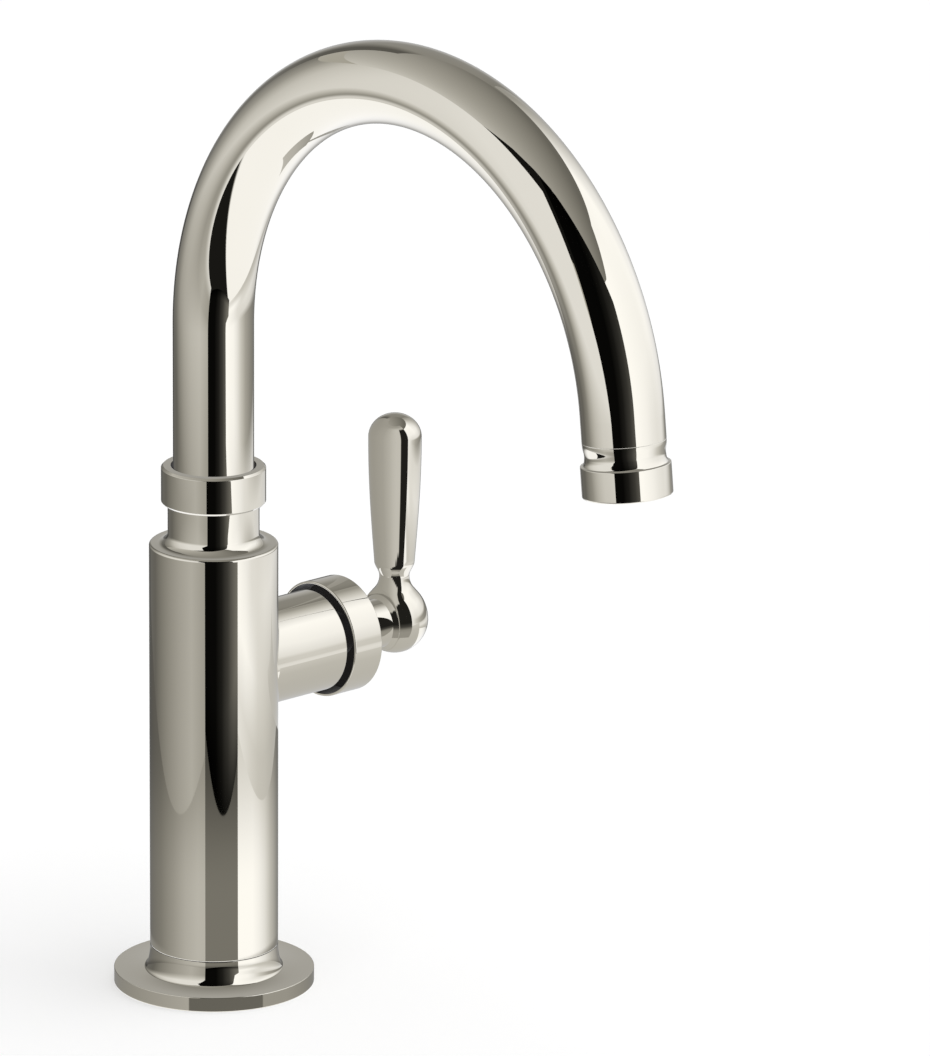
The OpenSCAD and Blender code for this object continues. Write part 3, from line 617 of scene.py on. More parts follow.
def surface_group():
    """The unevenness that every finish here has. Broad noise mixes two tones and two roughnesses, as
    handling and buffing leave them, and fine noise adds grain to the roughness and a relief of the given
    height."""
    group = bpy.data.node_groups.new("uneven_surface", "ShaderNodeTree")
    for name, kind, value in (
        ("Pale Tone", "NodeSocketColor", (1, 1, 1, 1)),
        ("Dark Tone", "NodeSocketColor", (1, 1, 1, 1)),
        ("Smoothest", "NodeSocketFloat", 0.05),
        ("Roughest", "NodeSocketFloat", 0.1),
        ("Broad Scale", "NodeSocketFloat", 30.0),
        ("Grain Scale", "NodeSocketFloat", 900.0),
        ("Relief", "NodeSocketFloat", 0.0),
    ):
        group.interface.new_socket(name, in_out="INPUT", socket_type=kind).default_value = value
    for name, kind in (("Color", "Color"), ("Roughness", "Float"), ("Normal", "Vector")):
        group.interface.new_socket(name, in_out="OUTPUT", socket_type="NodeSocket" + kind)
    nodes, links = group.nodes, group.links
    given = nodes.new("NodeGroupInput").outputs
    result = nodes.new("NodeGroupOutput").inputs
    place = nodes.new("ShaderNodeTexCoord").outputs["Object"]
    broad = nodes.new("ShaderNodeTexNoise")
    broad.inputs["Detail"].default_value = 4
    grain = nodes.new("ShaderNodeTexNoise")
    grain.inputs["Detail"].default_value = 2
    for noise, scale in ((broad, "Broad Scale"), (grain, "Grain Scale")):
        links.new(place, noise.inputs["Vector"])
        links.new(given[scale], noise.inputs["Scale"])
    tone = nodes.new("ShaderNodeMix")
    tone.data_type = "RGBA"
    sockets = {socket.identifier: socket for socket in tone.inputs}
    links.new(broad.outputs["Fac"], sockets["Factor_Float"])
    links.new(given["Pale Tone"], sockets["A_Color"])
    links.new(given["Dark Tone"], sockets["B_Color"])
    links.new(next(s for s in tone.outputs if s.identifier == "Result_Color"), result["Color"])
    both = nodes.new("ShaderNodeMath")
    both.operation = "MULTIPLY_ADD"
    both.inputs[1].default_value = grain_share
    links.new(grain.outputs["Fac"], both.inputs[0])
    links.new(broad.outputs["Fac"], both.inputs[2])
    spread = nodes.new("ShaderNodeMapRange")
    spread.inputs["From Min"].default_value = grain_share
    spread.inputs["From Max"].default_value = 1.0
    links.new(both.outputs[0], spread.inputs["Value"])
    links.new(given["Smoothest"], spread.inputs["To Min"])
    links.new(given["Roughest"], spread.inputs["To Max"])
    links.new(spread.outputs["Result"], result["Roughness"])
    relief = nodes.new("ShaderNodeBump")
    links.new(given["Relief"], relief.inputs["Distance"])
    links.new(grain.outputs["Fac"], relief.inputs["Height"])
    links.new(relief.outputs["Normal"], result["Normal"])
    return group


uneven_surface = surface_group()


def uneven(material, **values):
    """Puts the unevenness into a material with its own values, and feeds its shader from it."""
    nodes, links = material.node_tree.nodes, material.node_tree.links
    effect = nodes.new("ShaderNodeGroup")
    effect.node_tree = uneven_surface
    for socket, value in values.items():
        effect.inputs[socket.replace("_", " ")].default_value = value
    shader = nodes["Principled BSDF"]
    links.new(effect.outputs["Color"], shader.inputs["Base Color"])
    links.new(effect.outputs["Roughness"], shader.inputs["Roughness"])
    links.new(effect.outputs["Normal"], shader.inputs["Normal"])
    return material


polished_nickel = uneven(
    finish("polished_nickel", Metallic=1.0),
    Pale_Tone=(0.67, 0.627, 0.512, 1),
    Dark_Tone=(0.65, 0.608, 0.496, 1),
    Smoothest=0.008,
    Roughest=0.022,
    Broad_Scale=35.0,
    Grain_Scale=700.0,
    Relief=0.0,
)

# Near black: painted shade inside hollows and bores, under joints and on faces that meet the deck.
painted_shade_inside = uneven(
    finish("painted_shade_inside", Specular_IOR_Level=0.1),
    Pale_Tone=(0.016, 0.013, 0.009, 1),
    Dark_Tone=(0.008, 0.006, 0.004, 1),
    Smoothest=0.4,
    Roughest=0.6,
    Broad_Scale=60.0,
    Grain_Scale=900.0,
    Relief=0.00005,
)


def paint_inner_shade(thing, inner):
    """The faces that inner() picks by their middles, in millimetres, stay unplated and are painted near
    black as shade.
    """
    thing.data.materials.append(painted_shade_inside)
    middles = np.empty(3 * len(thing.data.polygons), np.float32)
    thing.data.polygons.foreach_get("center", middles)
    picked = inner(*(middles.reshape(-1, 3) / MM).T)
    thing.data.polygons.foreach_set("material_index", picked.astype(np.int32))


flange_high = span("deck_flange")[1]
gasket_high = span("deck_gasket")[1]
body_high = span("faucet_body")[1]
shank_low, shank_high = span("mounting_shank")
flange_r = flange_high[0]
flange_top = flange_high[2]
body_r = body_high[1]
cove = np.linspace(0, np.pi / 2, flange_cove_steps + 1)
cove_r = body_r + (flare_r - body_r) * (1 - np.sin(cove))
cove_z = flange_top - (flange_top - flange_rim_z) * np.cos(cove)
flare = np.stack([cove_r, cove_z], -1)
flange_section = outline(
    [
        (flange_bore_r, 0, flange_bore_rounding),
        (gasket_in_r, 0, flange_edge_rounding),
        (gasket_in_r, gasket_high[2], 0),
        (gasket_high[0], gasket_high[2], 0),
        (gasket_high[0], 0, flange_edge_rounding),
        (flange_r, 0, flange_foot_rounding),
        (flange_r, flange_rim_z, flange_edge_rounding),
        *curve(flare[:-1]),
        (body_r, flange_top, flange_edge_rounding),
        (flange_bore_r, flange_top, flange_bore_rounding),
    ]
)
deck_flange = piece("foot_flange", [turned(flange_section)], polished_nickel)
paint_inner_shade(
    deck_flange,
    lambda x, y, z: (
        (np.hypot(x, y) < flange_bore_r + shade_margin)
        | (z < shaded_foot_z)
        | (z > flange_top - shaded_joint_depth)
    ),
)
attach(deck_flange, "body")
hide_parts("deck_flange")


# ---- Deck gasket ----
# A flat ring of black rubber, moulded to size and pressed into the groove under the flange, where it
# seals against the deck. The CAD shape stays.
def dress(material, *names):
    """CAD nodes whose shape is right keep it, and take this material in each of their slots."""
    for name in names:
        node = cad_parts[name]
        if not node.data.materials:
            node.data.materials.append(material)
        for place in node.material_slots:
            place.material = material
        node.visible_glossy = False


moulded_rubber = uneven(
    finish("moulded_rubber", Specular_IOR_Level=0.4),
    Pale_Tone=(0.035, 0.034, 0.033, 1),
    Dark_Tone=(0.016, 0.016, 0.016, 1),
    Smoothest=0.5,
    Roughest=0.75,
    Broad_Scale=90.0,
    Grain_Scale=2500.0,
    Relief=0.00006,
)
dress(moulded_rubber, "deck_gasket")


# ---- Body ----
# One brass forging, turned and polished: a tall cylinder with a side barrel for the valve, joined by a
# small fillet, and a neck with a threaded spigot on top. The shank screws into its foot, and two supply
# hoses screw into the roof of that socket.
body_columns = 256
body_edge = 0.7
body_foot_edge = 0.25
body_foot_shaded = 0.12
band_below = 20.0
neck_cove_r = 3.0
neck_len = 11.5
neck_step = 0.1
spigot_wall = 1.1
spigot_edge = 0.15
valve_fillet_r = 1.0
valve_edge = 0.4
barrel_wall = 1.6
barrel_start_x = 22.0
barrel_row = 3.0
shaded_bore_depth = 0.5
cartridge_gap = 0.1
opening_columns = 46
opening_half = 17.0
opening_rows = 24
counterbore_r = 11.4
socket_r = 10.4
socket_ledge_z = 134.55
socket_foot_z = 108.1
nut_thread_r = 13.25
nut_seat_depth = 5.8
cartridge_seat_x = 3.0
shank_roof_z = 21.1
shank_thread_gap = 0.05
inlet_places = [(-4.5, 6.062), (-4.5, -6.062)]
inlet_r = 4.5
inlet_depth = 10.0
passage_r = 3.0
passage_len = 40.0


def around(azimuth, height, radius):
    """Points of an upright cylinder: x = r cos a, y = r sin a, z = height."""
    azimuth, height = np.broadcast_arrays(azimuth, height)
    return np.stack([radius * np.cos(azimuth), radius * np.sin(azimuth), height], -1)


def border(half_width, half_height, columns, rows):
    """Points round a rectangle of (across, up) about its middle, from the middle of its right side up and
    round."""
    across = half_width * np.linspace(1, -1, 2 * columns + 1)
    up = half_height * np.linspace(-1, 1, rows + 1)
    mid = rows // 2
    return np.vstack(
        [
            np.stack([half_width + 0 * up[mid:], up[mid:]], -1),
            np.stack([across, half_height + 0 * across], -1)[1:],
            np.stack([-half_width + 0 * up, up[::-1]], -1)[1:],
            np.stack([across[::-1], -half_height + 0 * across], -1)[1:],
            np.stack([half_width + 0 * up[: mid + 1], up[: mid + 1]], -1)[1:],
        ]
    )


def between(first, last, steps):
    """Rows of points on straight lines from each point of one ring to the same point of another."""
    t = np.linspace(0, 1, steps + 1).reshape(-1, *[1] * first.ndim)
    return first * (1 - t) + last * t


nut_low, nut_high = span("spout_nut")
barrel_end_x = body_high[0]
cap_low, cap_high = span("handle_cap")
valve_z = (cap_low[2] + cap_high[2]) / 2
cartridge_high = span("cartridge_base")[1]
cartridge_bore_r = cartridge_high[1] + cartridge_gap
barrel_r = cartridge_bore_r + barrel_wall
body_foot_z = flange_top
spigot_r = counterbore_r + spigot_wall
neck_r = spigot_r + neck_step
shoulder_z = nut_low[2] - neck_len
spigot_top_z = body_high[2]
shank_socket_r = shank_high[0] + shank_thread_gap

opening_z = valve_z + np.linspace(-opening_half, opening_half, opening_rows + 1)
cove_turn = np.radians(np.linspace(270, 180, 12))
neck_cove = np.stack(
    [
        neck_r + neck_cove_r + neck_cove_r * np.cos(cove_turn),
        shoulder_z + neck_cove_r + neck_cove_r * np.sin(cove_turn),
    ],
    -1,
)
lower_section = outline(
    [
        (shank_socket_r, shank_roof_z, 0),
        (shank_socket_r, body_foot_z, 0.2),
        (body_r, body_foot_z, body_foot_edge),
        (body_r, opening_z[0] - band_below, 0),
        (body_r, opening_z[0], 0),
    ],
    closed=False,
)
upper_section = outline(
    [
        (body_r, opening_z[-1], 0),
        (body_r, shoulder_z, body_edge),
        *curve(neck_cove),
        (neck_r, nut_low[2], 0.04),
        (spigot_r, nut_low[2], 0),
        (spigot_r, spigot_top_z, spigot_edge),
        (counterbore_r, spigot_top_z, spigot_edge),
        (counterbore_r, socket_ledge_z, 0),
        (socket_r, socket_ledge_z, 0.1),
        (socket_r, socket_foot_z, 0),
        (0, socket_foot_z, 0),
    ],
    closed=False,
)
columns_turn = 2 * np.pi * np.arange(opening_columns, body_columns - opening_columns + 1) / body_columns
band_behind = around(columns_turn[None, :], opening_z[:, None], body_r)

# The valve's opening in the cylinder. On the cylinder the fillet touches at (x, y) * R / (R + f), and on
# the barrel at x = sqrt((R + f)^2 - y^2), with R the body's radius, f the fillet's and y = (r + f) cos p.
opening_turn = 2 * np.pi * opening_columns / body_columns
opening_border = border(opening_turn * body_r, opening_half, opening_columns, opening_rows)
fine_turn = np.linspace(-np.pi, 3 * np.pi, 4001)
touch_y = (barrel_r + valve_fillet_r) * np.cos(fine_turn)
touch_z = (barrel_r + valve_fillet_r) * np.sin(fine_turn)
touch_across = body_r * np.arcsin(touch_y / (body_r + valve_fillet_r))
border_angle = np.unwrap(np.arctan2(opening_border[:, 1], opening_border[:, 0]))
barrel_turn = np.interp(border_angle, np.unwrap(np.arctan2(touch_z, touch_across)), fine_turn)
fillet_y = (barrel_r + valve_fillet_r) * np.cos(barrel_turn)
fillet_z = (barrel_r + valve_fillet_r) * np.sin(barrel_turn)
fillet_x = np.sqrt((body_r + valve_fillet_r) ** 2 - fillet_y**2)
contact = np.stack([body_r * np.arcsin(fillet_y / (body_r + valve_fillet_r)), fillet_z], -1)
flat_rows = between(opening_border, contact, 10)
opening_patch = around(flat_rows[..., 0] / body_r, flat_rows[..., 1] + valve_z, body_r)

fillet_centre = np.stack([fillet_x, fillet_y, fillet_z + valve_z], -1)
on_body = np.stack([fillet_x, fillet_y], -1) * body_r / (body_r + valve_fillet_r)
to_body = np.concatenate([on_body, fillet_centre[:, 2:]], -1) - fillet_centre
to_barrel = np.stack([0 * fillet_x, -np.cos(barrel_turn), -np.sin(barrel_turn)], -1) * valve_fillet_r
spread = np.arccos(np.clip((to_body * to_barrel).sum(-1) / valve_fillet_r**2, -1, 1))[:, None]
t = np.linspace(0, 1, 9)[:, None, None]
swept = np.sin((1 - t) * spread) * to_body + np.sin(t * spread) * to_barrel
fillet_patch = fillet_centre + swept / np.sin(spread)

barrel_section = outline(
    [
        (barrel_r, barrel_start_x, 0),
        (barrel_r, barrel_end_x - barrel_row, 0),
        (barrel_r, barrel_end_x, valve_edge),
        (nut_thread_r, barrel_end_x, 0.15),
        (nut_thread_r, barrel_end_x - nut_seat_depth, 0),
        (cartridge_bore_r, barrel_end_x - nut_seat_depth, 0),
        (cartridge_bore_r, cartridge_seat_x, 0),
        (0, cartridge_seat_x, 0),
    ],
    closed=False,
)


def on_valve(points):
    """Turns a piece made upright onto the valve's axis: its height runs along +X and its x along +Y."""
    return np.stack([points[..., 2], points[..., 0], points[..., 1] + valve_z], -1)


radius, along = barrel_section[:, :1], barrel_section[:, 1:]
barrel_y, barrel_z = radius * np.cos(barrel_turn), radius * np.sin(barrel_turn)
barrel_rows = np.stack([barrel_y, barrel_z, along + 0 * barrel_turn], -1)
barrel_patch = np.concatenate([fillet_patch[-1:], on_valve(barrel_rows)])

# The roof of the shank's socket: each half disc is spread from its rim to the circle of its inlet.
half_turn = np.pi * np.arange(body_columns // 2 + 1) / (body_columns // 2)
rim_arc = around(half_turn, shank_roof_z, shank_socket_r)
cut_line = np.linspace(-1, 1, 65)[1:, None] * [shank_socket_r, 0, 0] + [0, 0, shank_roof_z]
half_rim = np.vstack([rim_arc, cut_line])
inlet_centre = np.array([*inlet_places[0], shank_roof_z])
rim_turn = np.unwrap(np.arctan2(half_rim[:, 1] - inlet_centre[1], half_rim[:, 0] - inlet_centre[0]))


def inlet_ring(radius, height):
    """A circle of the inlet, with its points in the same directions as those of the half disc's rim."""
    across, up = radius * np.cos(rim_turn), radius * np.sin(rim_turn)
    return inlet_centre + np.stack([across, up, height + 0 * rim_turn], -1)


passage_top = inlet_depth + passage_len
inlet_patches = [
    between(half_rim, inlet_ring(inlet_r, 0), 4),
    between(inlet_ring(inlet_r, 0), inlet_ring(inlet_r, inlet_depth), 6),
    between(inlet_ring(inlet_r, inlet_depth), inlet_ring(passage_r, inlet_depth), 1),
    between(inlet_ring(passage_r, inlet_depth), inlet_ring(passage_r, passage_top), 4),
    between(inlet_ring(passage_r, passage_top), inlet_ring(0, passage_top), 1),
]
mirrored = [patch * [1, -1, 1] for patch in inlet_patches]
body_patches = [
    turned(lower_section),
    turned(upper_section),
    band_behind,
    opening_patch,
    fillet_patch,
    barrel_patch,
]
faucet_body = piece("forged_body", [*body_patches, *inlet_patches, *mirrored], polished_nickel)
paint_inner_shade(
    faucet_body,
    lambda x, y, z: (
        (x > barrel_end_x - shade_margin)
        | ((x > body_r + valve_fillet_r) & (np.hypot(y, z - valve_z) < barrel_r - shaded_bore_depth))
        | ((x < body_r + valve_fillet_r) & (np.hypot(x, y) < spigot_r + neck_step / 2))
        | (z < body_foot_z + body_foot_shaded)
    ),
)
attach(faucet_body, "body")
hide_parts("faucet_body")


# ---- Spout nut ----
# The collar that screws over the spigot and holds the spout down by its split ring. Turned brass with
# chamfered edges, nickel plated and polished.
nut_chamfer = 0.6
nut_lip_r = 11.65
nut_lip_h = 2.1
nut_softening = 0.12
nut_fit = 0.05

nut_r = nut_high[0]
nut_bore_r = spigot_r + nut_fit
spout_nut = piece(
    "spout_collar",
    [
        turned(
            outline(
                [
                    (nut_bore_r, nut_low[2], 0.1),
                    (nut_r - nut_chamfer, nut_low[2], nut_softening),
                    (nut_r, nut_low[2] + nut_chamfer, nut_softening),
                    (nut_r, nut_high[2] - nut_chamfer, nut_softening),
                    (nut_r - nut_chamfer, nut_high[2], nut_softening),
                    (nut_lip_r, nut_high[2], 0.2),
                    (nut_lip_r, nut_high[2] - nut_lip_h, 0.1),
                    (nut_bore_r, nut_high[2] - nut_lip_h, 0),
                ]
            )
        )
    ],
    polished_nickel,
)
paint_inner_shade(spout_nut, lambda x, y, z: np.hypot(x, y) < nut_lip_r + shade_margin)
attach(spout_nut, "body")
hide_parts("spout_nut")


# ---- Spout tube ----
# Brass tube drawn to size, bent round a former into the gooseneck, plated and polished. A groove near its
# lower end takes the split ring.
tube_wall = 1.2
bend_degrees = 173.5
bend_rows = 150
tube_columns = 192
keeper_depth = 0.5

tube_low, tube_high = span("spout_tube")
keeper_low, keeper_high = span("keeper_ring")
spout_r = tube_high[0]
bend_r = (-tube_low[1] - spout_r) / 2
bend_z = tube_high[2] - bend_r - spout_r
bend_turn = np.radians(bend_degrees)
riser_len = bend_z - tube_low[2]


def along_spout(section, columns=tube_columns):
    """Carries a section of (radius, distance) along the spout's line: straight up for the riser, then
    round the bend, where the middle is at (0, R cos a - R, R sin a) from the bend's start and a =
    distance / R."""
    turn = np.linspace(0, 2 * np.pi, columns + 1)
    radius, distance = section[:, :1], section[:, 1:2]
    bend = np.clip(distance - riser_len, 0, None) / bend_r
    straight = np.minimum(distance, riser_len)
    reach = bend_r + radius * np.sin(turn)
    height = tube_low[2] + straight + reach * np.sin(bend)
    return np.stack([radius * np.cos(turn), reach * np.cos(bend) - bend_r, height], -1)


tube_bore_r = spout_r - tube_wall
groove_s = np.array([keeper_low[2], keeper_high[2]]) - tube_low[2]
bend_s = riser_len + bend_r * np.linspace(0, bend_turn, bend_rows)
tube_end_s = bend_s[-1]
riser_s = np.linspace(groove_s[1] + 2, riser_len, 12)[:-1]
outer_rows = np.concatenate([riser_s, bend_s[:-1]])
inner_rows = np.concatenate([bend_s[-2::-3], riser_s[::-3]])
tube_section = outline(
    [
        (tube_bore_r, 0, 0.1),
        (spout_r, 0, 0.2),
        (spout_r, groove_s[0], 0),
        (spout_r - keeper_depth, groove_s[0], 0),
        (spout_r - keeper_depth, groove_s[1], 0),
        (spout_r, groove_s[1], 0),
        *curve(np.stack([spout_r + 0 * outer_rows, outer_rows], -1)),
        (spout_r, tube_end_s, 0),
        (tube_bore_r, tube_end_s, 0),
        *curve(np.stack([tube_bore_r + 0 * inner_rows, inner_rows], -1)),
    ]
)
spout_tube = piece("gooseneck_tube", [along_spout(tube_section)], polished_nickel)
paint_inner_shade(spout_tube, lambda x, y, z: z < nut_high[2] - shade_margin)
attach(spout_tube, "spout")
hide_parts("spout_tube")


# ---- Outlet ----
# A short straight adapter is brazed flush into the tube's end. The outlet's housing screws onto its
# thread: a slightly waisted neck that flares to a sharp rim, above a plain ring that holds the aerator.
adapter_len = 6.8
adapter_spigot = 4.0
outlet_neck = 6.2
outlet_ring = 8.4
outlet_r = 11.95
outlet_wall = 1.1
outlet_waist = 0.4
outlet_waist_rise = 2.4
outlet_lip = 0.45
neck_shoulder = 0.3
neck_inset = 0.02
adapter_thread_r = 10.15
adapter_bore_r = 8.55
adapter_fit = 0.15
thread_fit = 0.05
washer_s = 12.6


def on_outlet(points):
    """Places a piece made upright at the end of the bend, with its height along the outlet's axis."""
    across = points[..., 1] + bend_r
    return np.stack(
        [
            points[..., 0],
            across * np.cos(bend_turn) - points[..., 2] * np.sin(bend_turn) - bend_r,
            across * np.sin(bend_turn) + points[..., 2] * np.cos(bend_turn) + bend_z,
        ],
        -1,
    )


adapter_section = outline(
    [
        (adapter_bore_r, -adapter_spigot, 0.1),
        (tube_bore_r - adapter_fit, -adapter_spigot, 0.2),
        (tube_bore_r - adapter_fit, 0, 0),
        (spout_r, 0, 0),
        (spout_r, adapter_len, 0.12),
        (adapter_thread_r, adapter_len, 0),
        (adapter_thread_r, washer_s, 0.1),
        (adapter_bore_r, washer_s, 0.1),
    ]
)
adapter_skin = on_outlet(turned(adapter_section, tube_columns))
outlet_adapter = piece("outlet_adapter_tube", [adapter_skin], polished_nickel)
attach(outlet_adapter, "spout")
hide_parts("outlet_adapter")

rim_s = adapter_len + outlet_neck
outlet_end_s = rim_s + outlet_ring
outlet_waist_r = spout_r - outlet_waist
waist_s = rim_s - outlet_waist_rise
neck_t = np.linspace(0, 1, 13)[1:]
neck_curve = np.stack(
    [
        spout_r - neck_inset + (outlet_waist_r - spout_r) * (1 - np.cos(np.pi * neck_t)) / 2,
        adapter_len + neck_shoulder + (waist_s - adapter_len - neck_shoulder) * neck_t,
    ],
    -1,
)
flare_turn = np.radians(np.linspace(180, 112, 12))[1:]
flare_end_r = outlet_r - outlet_lip
flare_curve = np.stack(
    [
        flare_end_r + (flare_end_r - outlet_waist_r) * np.cos(flare_turn),
        waist_s + (rim_s - waist_s) * np.sin(flare_turn),
    ],
    -1,
)
housing_section = outline(
    [
        (adapter_thread_r + thread_fit, adapter_len, 0),
        (spout_r, adapter_len, 0.12),
        *curve(neck_curve),
        *curve(flare_curve),
        (outlet_r, rim_s, 0.15),
        (outlet_r, outlet_end_s, 0.5),
        (outlet_r - outlet_wall, outlet_end_s, 0.2),
        (outlet_r - outlet_wall, washer_s, 0),
        (adapter_thread_r + thread_fit, washer_s, 0),
    ]
)
housing_skin = on_outlet(turned(housing_section, tube_columns))
outlet_housing = piece("outlet_ring_housing", [housing_skin], polished_nickel)
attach(outlet_housing, "spout")
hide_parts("outlet_housing")


# ---- Handle cap ----
# The hollow ring that covers the end of the barrel. Pressed and turned brass, plated, with thin rounded
# rims. It rides on the stem, and the gap round the barrel is the room it needs to tilt.
cap_wall = 0.75
cap_end = 1.7
cap_edge = 0.4
hub_boss_r = 6.0

cap_r = cap_high[1]
cap_section = outline(
    [
        (cap_r - cap_wall, cap_low[0], 0.25),
        (cap_r, cap_low[0], 0.35),
        (cap_r, cap_high[0], cap_edge),
        (hub_boss_r, cap_high[0], 0),
        (hub_boss_r, cap_high[0] - cap_end, 0.1),
        (cap_r - cap_wall, cap_high[0] - cap_end, 0.4),
    ]
)
handle_cap = piece("handle_cap_ring", [on_valve(turned(cap_section))], polished_nickel)
cap_inner_r = cap_r - cap_wall + shade_margin
paint_inner_shade(
    handle_cap,
    lambda x, y, z: (np.hypot(y, z - valve_z) < cap_inner_r) & (x < cap_high[0] - shade_margin),
)
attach(handle_cap, "handle")
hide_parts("handle_cap")


# ---- Handle hub ----
# The turned hub that grips the valve's square stem: a short round neck that swells into the back of a
# ball, up to the seam with the lever. A set screw underneath holds it on the stem.
hub_r = 6.9
ball_r = 9.5
seam_offset = 5.0
seam_edge = 0.22
lever_spigot_r = 4.0
lever_spigot_gap = 0.05
hub_socket_depth = 3.6

hub_low, hub_high = span("handle_hub")
seam_x = hub_high[0]
ball_x = seam_x + seam_offset
cap_face_x = cap_high[0]
swell = np.linspace(-np.arccos(hub_r / ball_r), -np.arcsin(seam_offset / ball_r), 9)
swell_curve = np.stack([ball_r * np.cos(swell), ball_x + ball_r * np.sin(swell)], -1)
hub_section = outline(
    [
        (0, hub_low[0], 0),
        (hub_boss_r, hub_low[0], 0.2),
        (hub_boss_r, cap_face_x, 0),
        (hub_r, cap_face_x, 0.12),
        *curve(swell_curve[:-1]),
        (swell_curve[-1, 0], seam_x, seam_edge),
        (lever_spigot_r + lever_spigot_gap, seam_x, 0),
        (lever_spigot_r + lever_spigot_gap, seam_x - hub_socket_depth, 0),
        (0, seam_x - hub_socket_depth, 0),
    ],
    closed=False,
)
handle_hub = piece("handle_hub_neck", [on_valve(turned(hub_section))], polished_nickel)
paint_inner_shade(handle_hub, lambda x, y, z: x < cap_face_x - cap_end)
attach(handle_hub, "handle")
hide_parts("handle_hub")


# ---- Lever ----
# Cast brass, turned and polished: a ball against the hub, a waist, and a baluster grip that widens
# towards its domed top. The ball is a sphere below its middle and a taller oval above. A spigot joins it
# to the hub.
oval_rise = 1.3
oval_stop = np.radians(43)
waist_r = 4.2
waist_rise = 12.7
waist_cove_r = 5.8
waist_cove_start = np.radians(222)
foot_r = 5.65
foot_rise = 4.4
grip_r = 7.45
dome_h = 6.7
spigot_len = 3.4

lever_h = span("lever")[1][2] - valve_z
grip_top = lever_h - dome_h
foot_z = waist_rise + foot_rise
lever_rows = [60, 30, 2, 24, 24, 40, 40]
lever_stops = np.concatenate([[0], np.cumsum(lever_rows)])


def lever_outline(row):
    """Radius and height at any row of the lever, whole or not: a quarter circle up to the ball's middle,
    an oval, a short straight, the cove, half a cosine wave to the foot, a quarter sine wave along the
    grip and an oval dome."""
    u = [np.clip((row - first) / count, 0, 1) for first, count in zip(lever_stops, lever_rows)]
    oval_end = ball_r * np.cos(oval_stop), (ball_r + oval_rise) * np.sin(oval_stop)
    cove_turn = waist_cove_start + (np.pi - waist_cove_start) * u[3]
    cove_start = (
        waist_r + waist_cove_r * (1 + np.cos(waist_cove_start)),
        waist_rise + waist_cove_r * np.sin(waist_cove_start),
    )
    radii = [
        ball_r * np.sin(u[0] * np.pi / 2),
        ball_r * np.cos(u[1] * oval_stop),
        oval_end[0] + (cove_start[0] - oval_end[0]) * u[2],
        waist_r + waist_cove_r * (1 + np.cos(cove_turn)),
        waist_r + (foot_r - waist_r) * (1 - np.cos(np.pi * u[4])) / 2,
        foot_r + (grip_r - foot_r) * np.sin(np.pi / 2 * u[5]),
        grip_r * np.cos(np.pi / 2 * u[6]),
    ]
    heights = [
        -ball_r * np.cos(u[0] * np.pi / 2),
        (ball_r + oval_rise) * np.sin(u[1] * oval_stop),
        oval_end[1] + (cove_start[1] - oval_end[1]) * u[2],
        waist_rise + waist_cove_r * np.sin(cove_turn),
        waist_rise + foot_rise * u[4],
        foot_z + (grip_top - foot_z) * u[5],
        grip_top + dome_h * np.sin(np.pi / 2 * u[6]),
    ]
    part = [row <= stop for stop in lever_stops[1:]]
    return np.select(part, radii), np.select(part, heights)


def lever_point(turn, row):
    """A point of the lever's skin: turn is its angle from the hub's side, and row is as lever_outline()
    takes it."""
    turn, row = np.broadcast_arrays(turn, row)
    radius, height = lever_outline(row)
    return np.stack([ball_x - radius * np.cos(turn), radius * np.sin(turn), valve_z + height], -1)


# The seam is a flat cut across the ball. Round it the skin is spread from a rectangle of rows and columns
# to the ring where skin and cut meet, which is at angle acos(distance of the cut / radius) from the hub's
# side.
seam_rows = (12, 104)
seam_columns = 54
seam_turn = 2 * np.pi * seam_columns / body_columns
seam_middle = sum(seam_rows) / 2
seam_half = (seam_rows[1] - seam_rows[0]) / 2
seam_border = border(seam_turn, seam_half, seam_columns, seam_rows[1] - seam_rows[0])
seam_angle = np.unwrap(np.arctan2(seam_border[:, 1] / seam_half, seam_border[:, 0] / seam_turn))


def seam_ring(offset):
    """Turn and row of the ring where the skin meets a cut at this distance from the ball's middle."""
    rows = np.linspace(0, lever_stops[4], 20001)
    reach = lever_outline(rows)[0] > offset
    low, high = rows[reach][0], rows[reach][-1]
    wave = low + (high - low) * (1 - np.cos(np.linspace(0, np.pi, 2001))) / 2
    turn = np.arccos(np.clip(offset / lever_outline(wave)[0], -1, 1))
    turns = np.concatenate([turn, -turn[-2::-1]])
    ups = np.concatenate([wave, wave[-2::-1]]) - seam_middle
    angle = np.unwrap(np.arctan2(ups / seam_half, turns / seam_turn))
    angle = np.concatenate([angle, angle[1:] + 2 * np.pi])
    turns, ups = np.concatenate([turns, turns[1:]]), np.concatenate([ups, ups[1:]])
    return np.stack([np.interp(seam_angle, angle, turns), np.interp(seam_angle, angle, ups)], -1)


skin_ring = seam_ring(seam_offset - seam_edge)
skin_rows = between(seam_border, skin_ring, 14)
skin_patch = lever_point(skin_rows[..., 0], skin_rows[..., 1] + seam_middle)
edge_ring = seam_ring(seam_offset)
edge = lever_point(edge_ring[:, 0], edge_ring[:, 1] + seam_middle) - [ball_x, 0, valve_z]
edge[:, 0] = -seam_offset
edge_r = np.hypot(edge[:, 1], edge[:, 2])[:, None]
direction = edge[:, 1:] / edge_r


def cut_ring(radius, offset=seam_offset):
    """A ring in the plane of the cut, with its points in the directions of the seam's points."""
    return np.concatenate([0 * edge_r - offset, direction * radius], -1) + [ball_x, 0, valve_z]


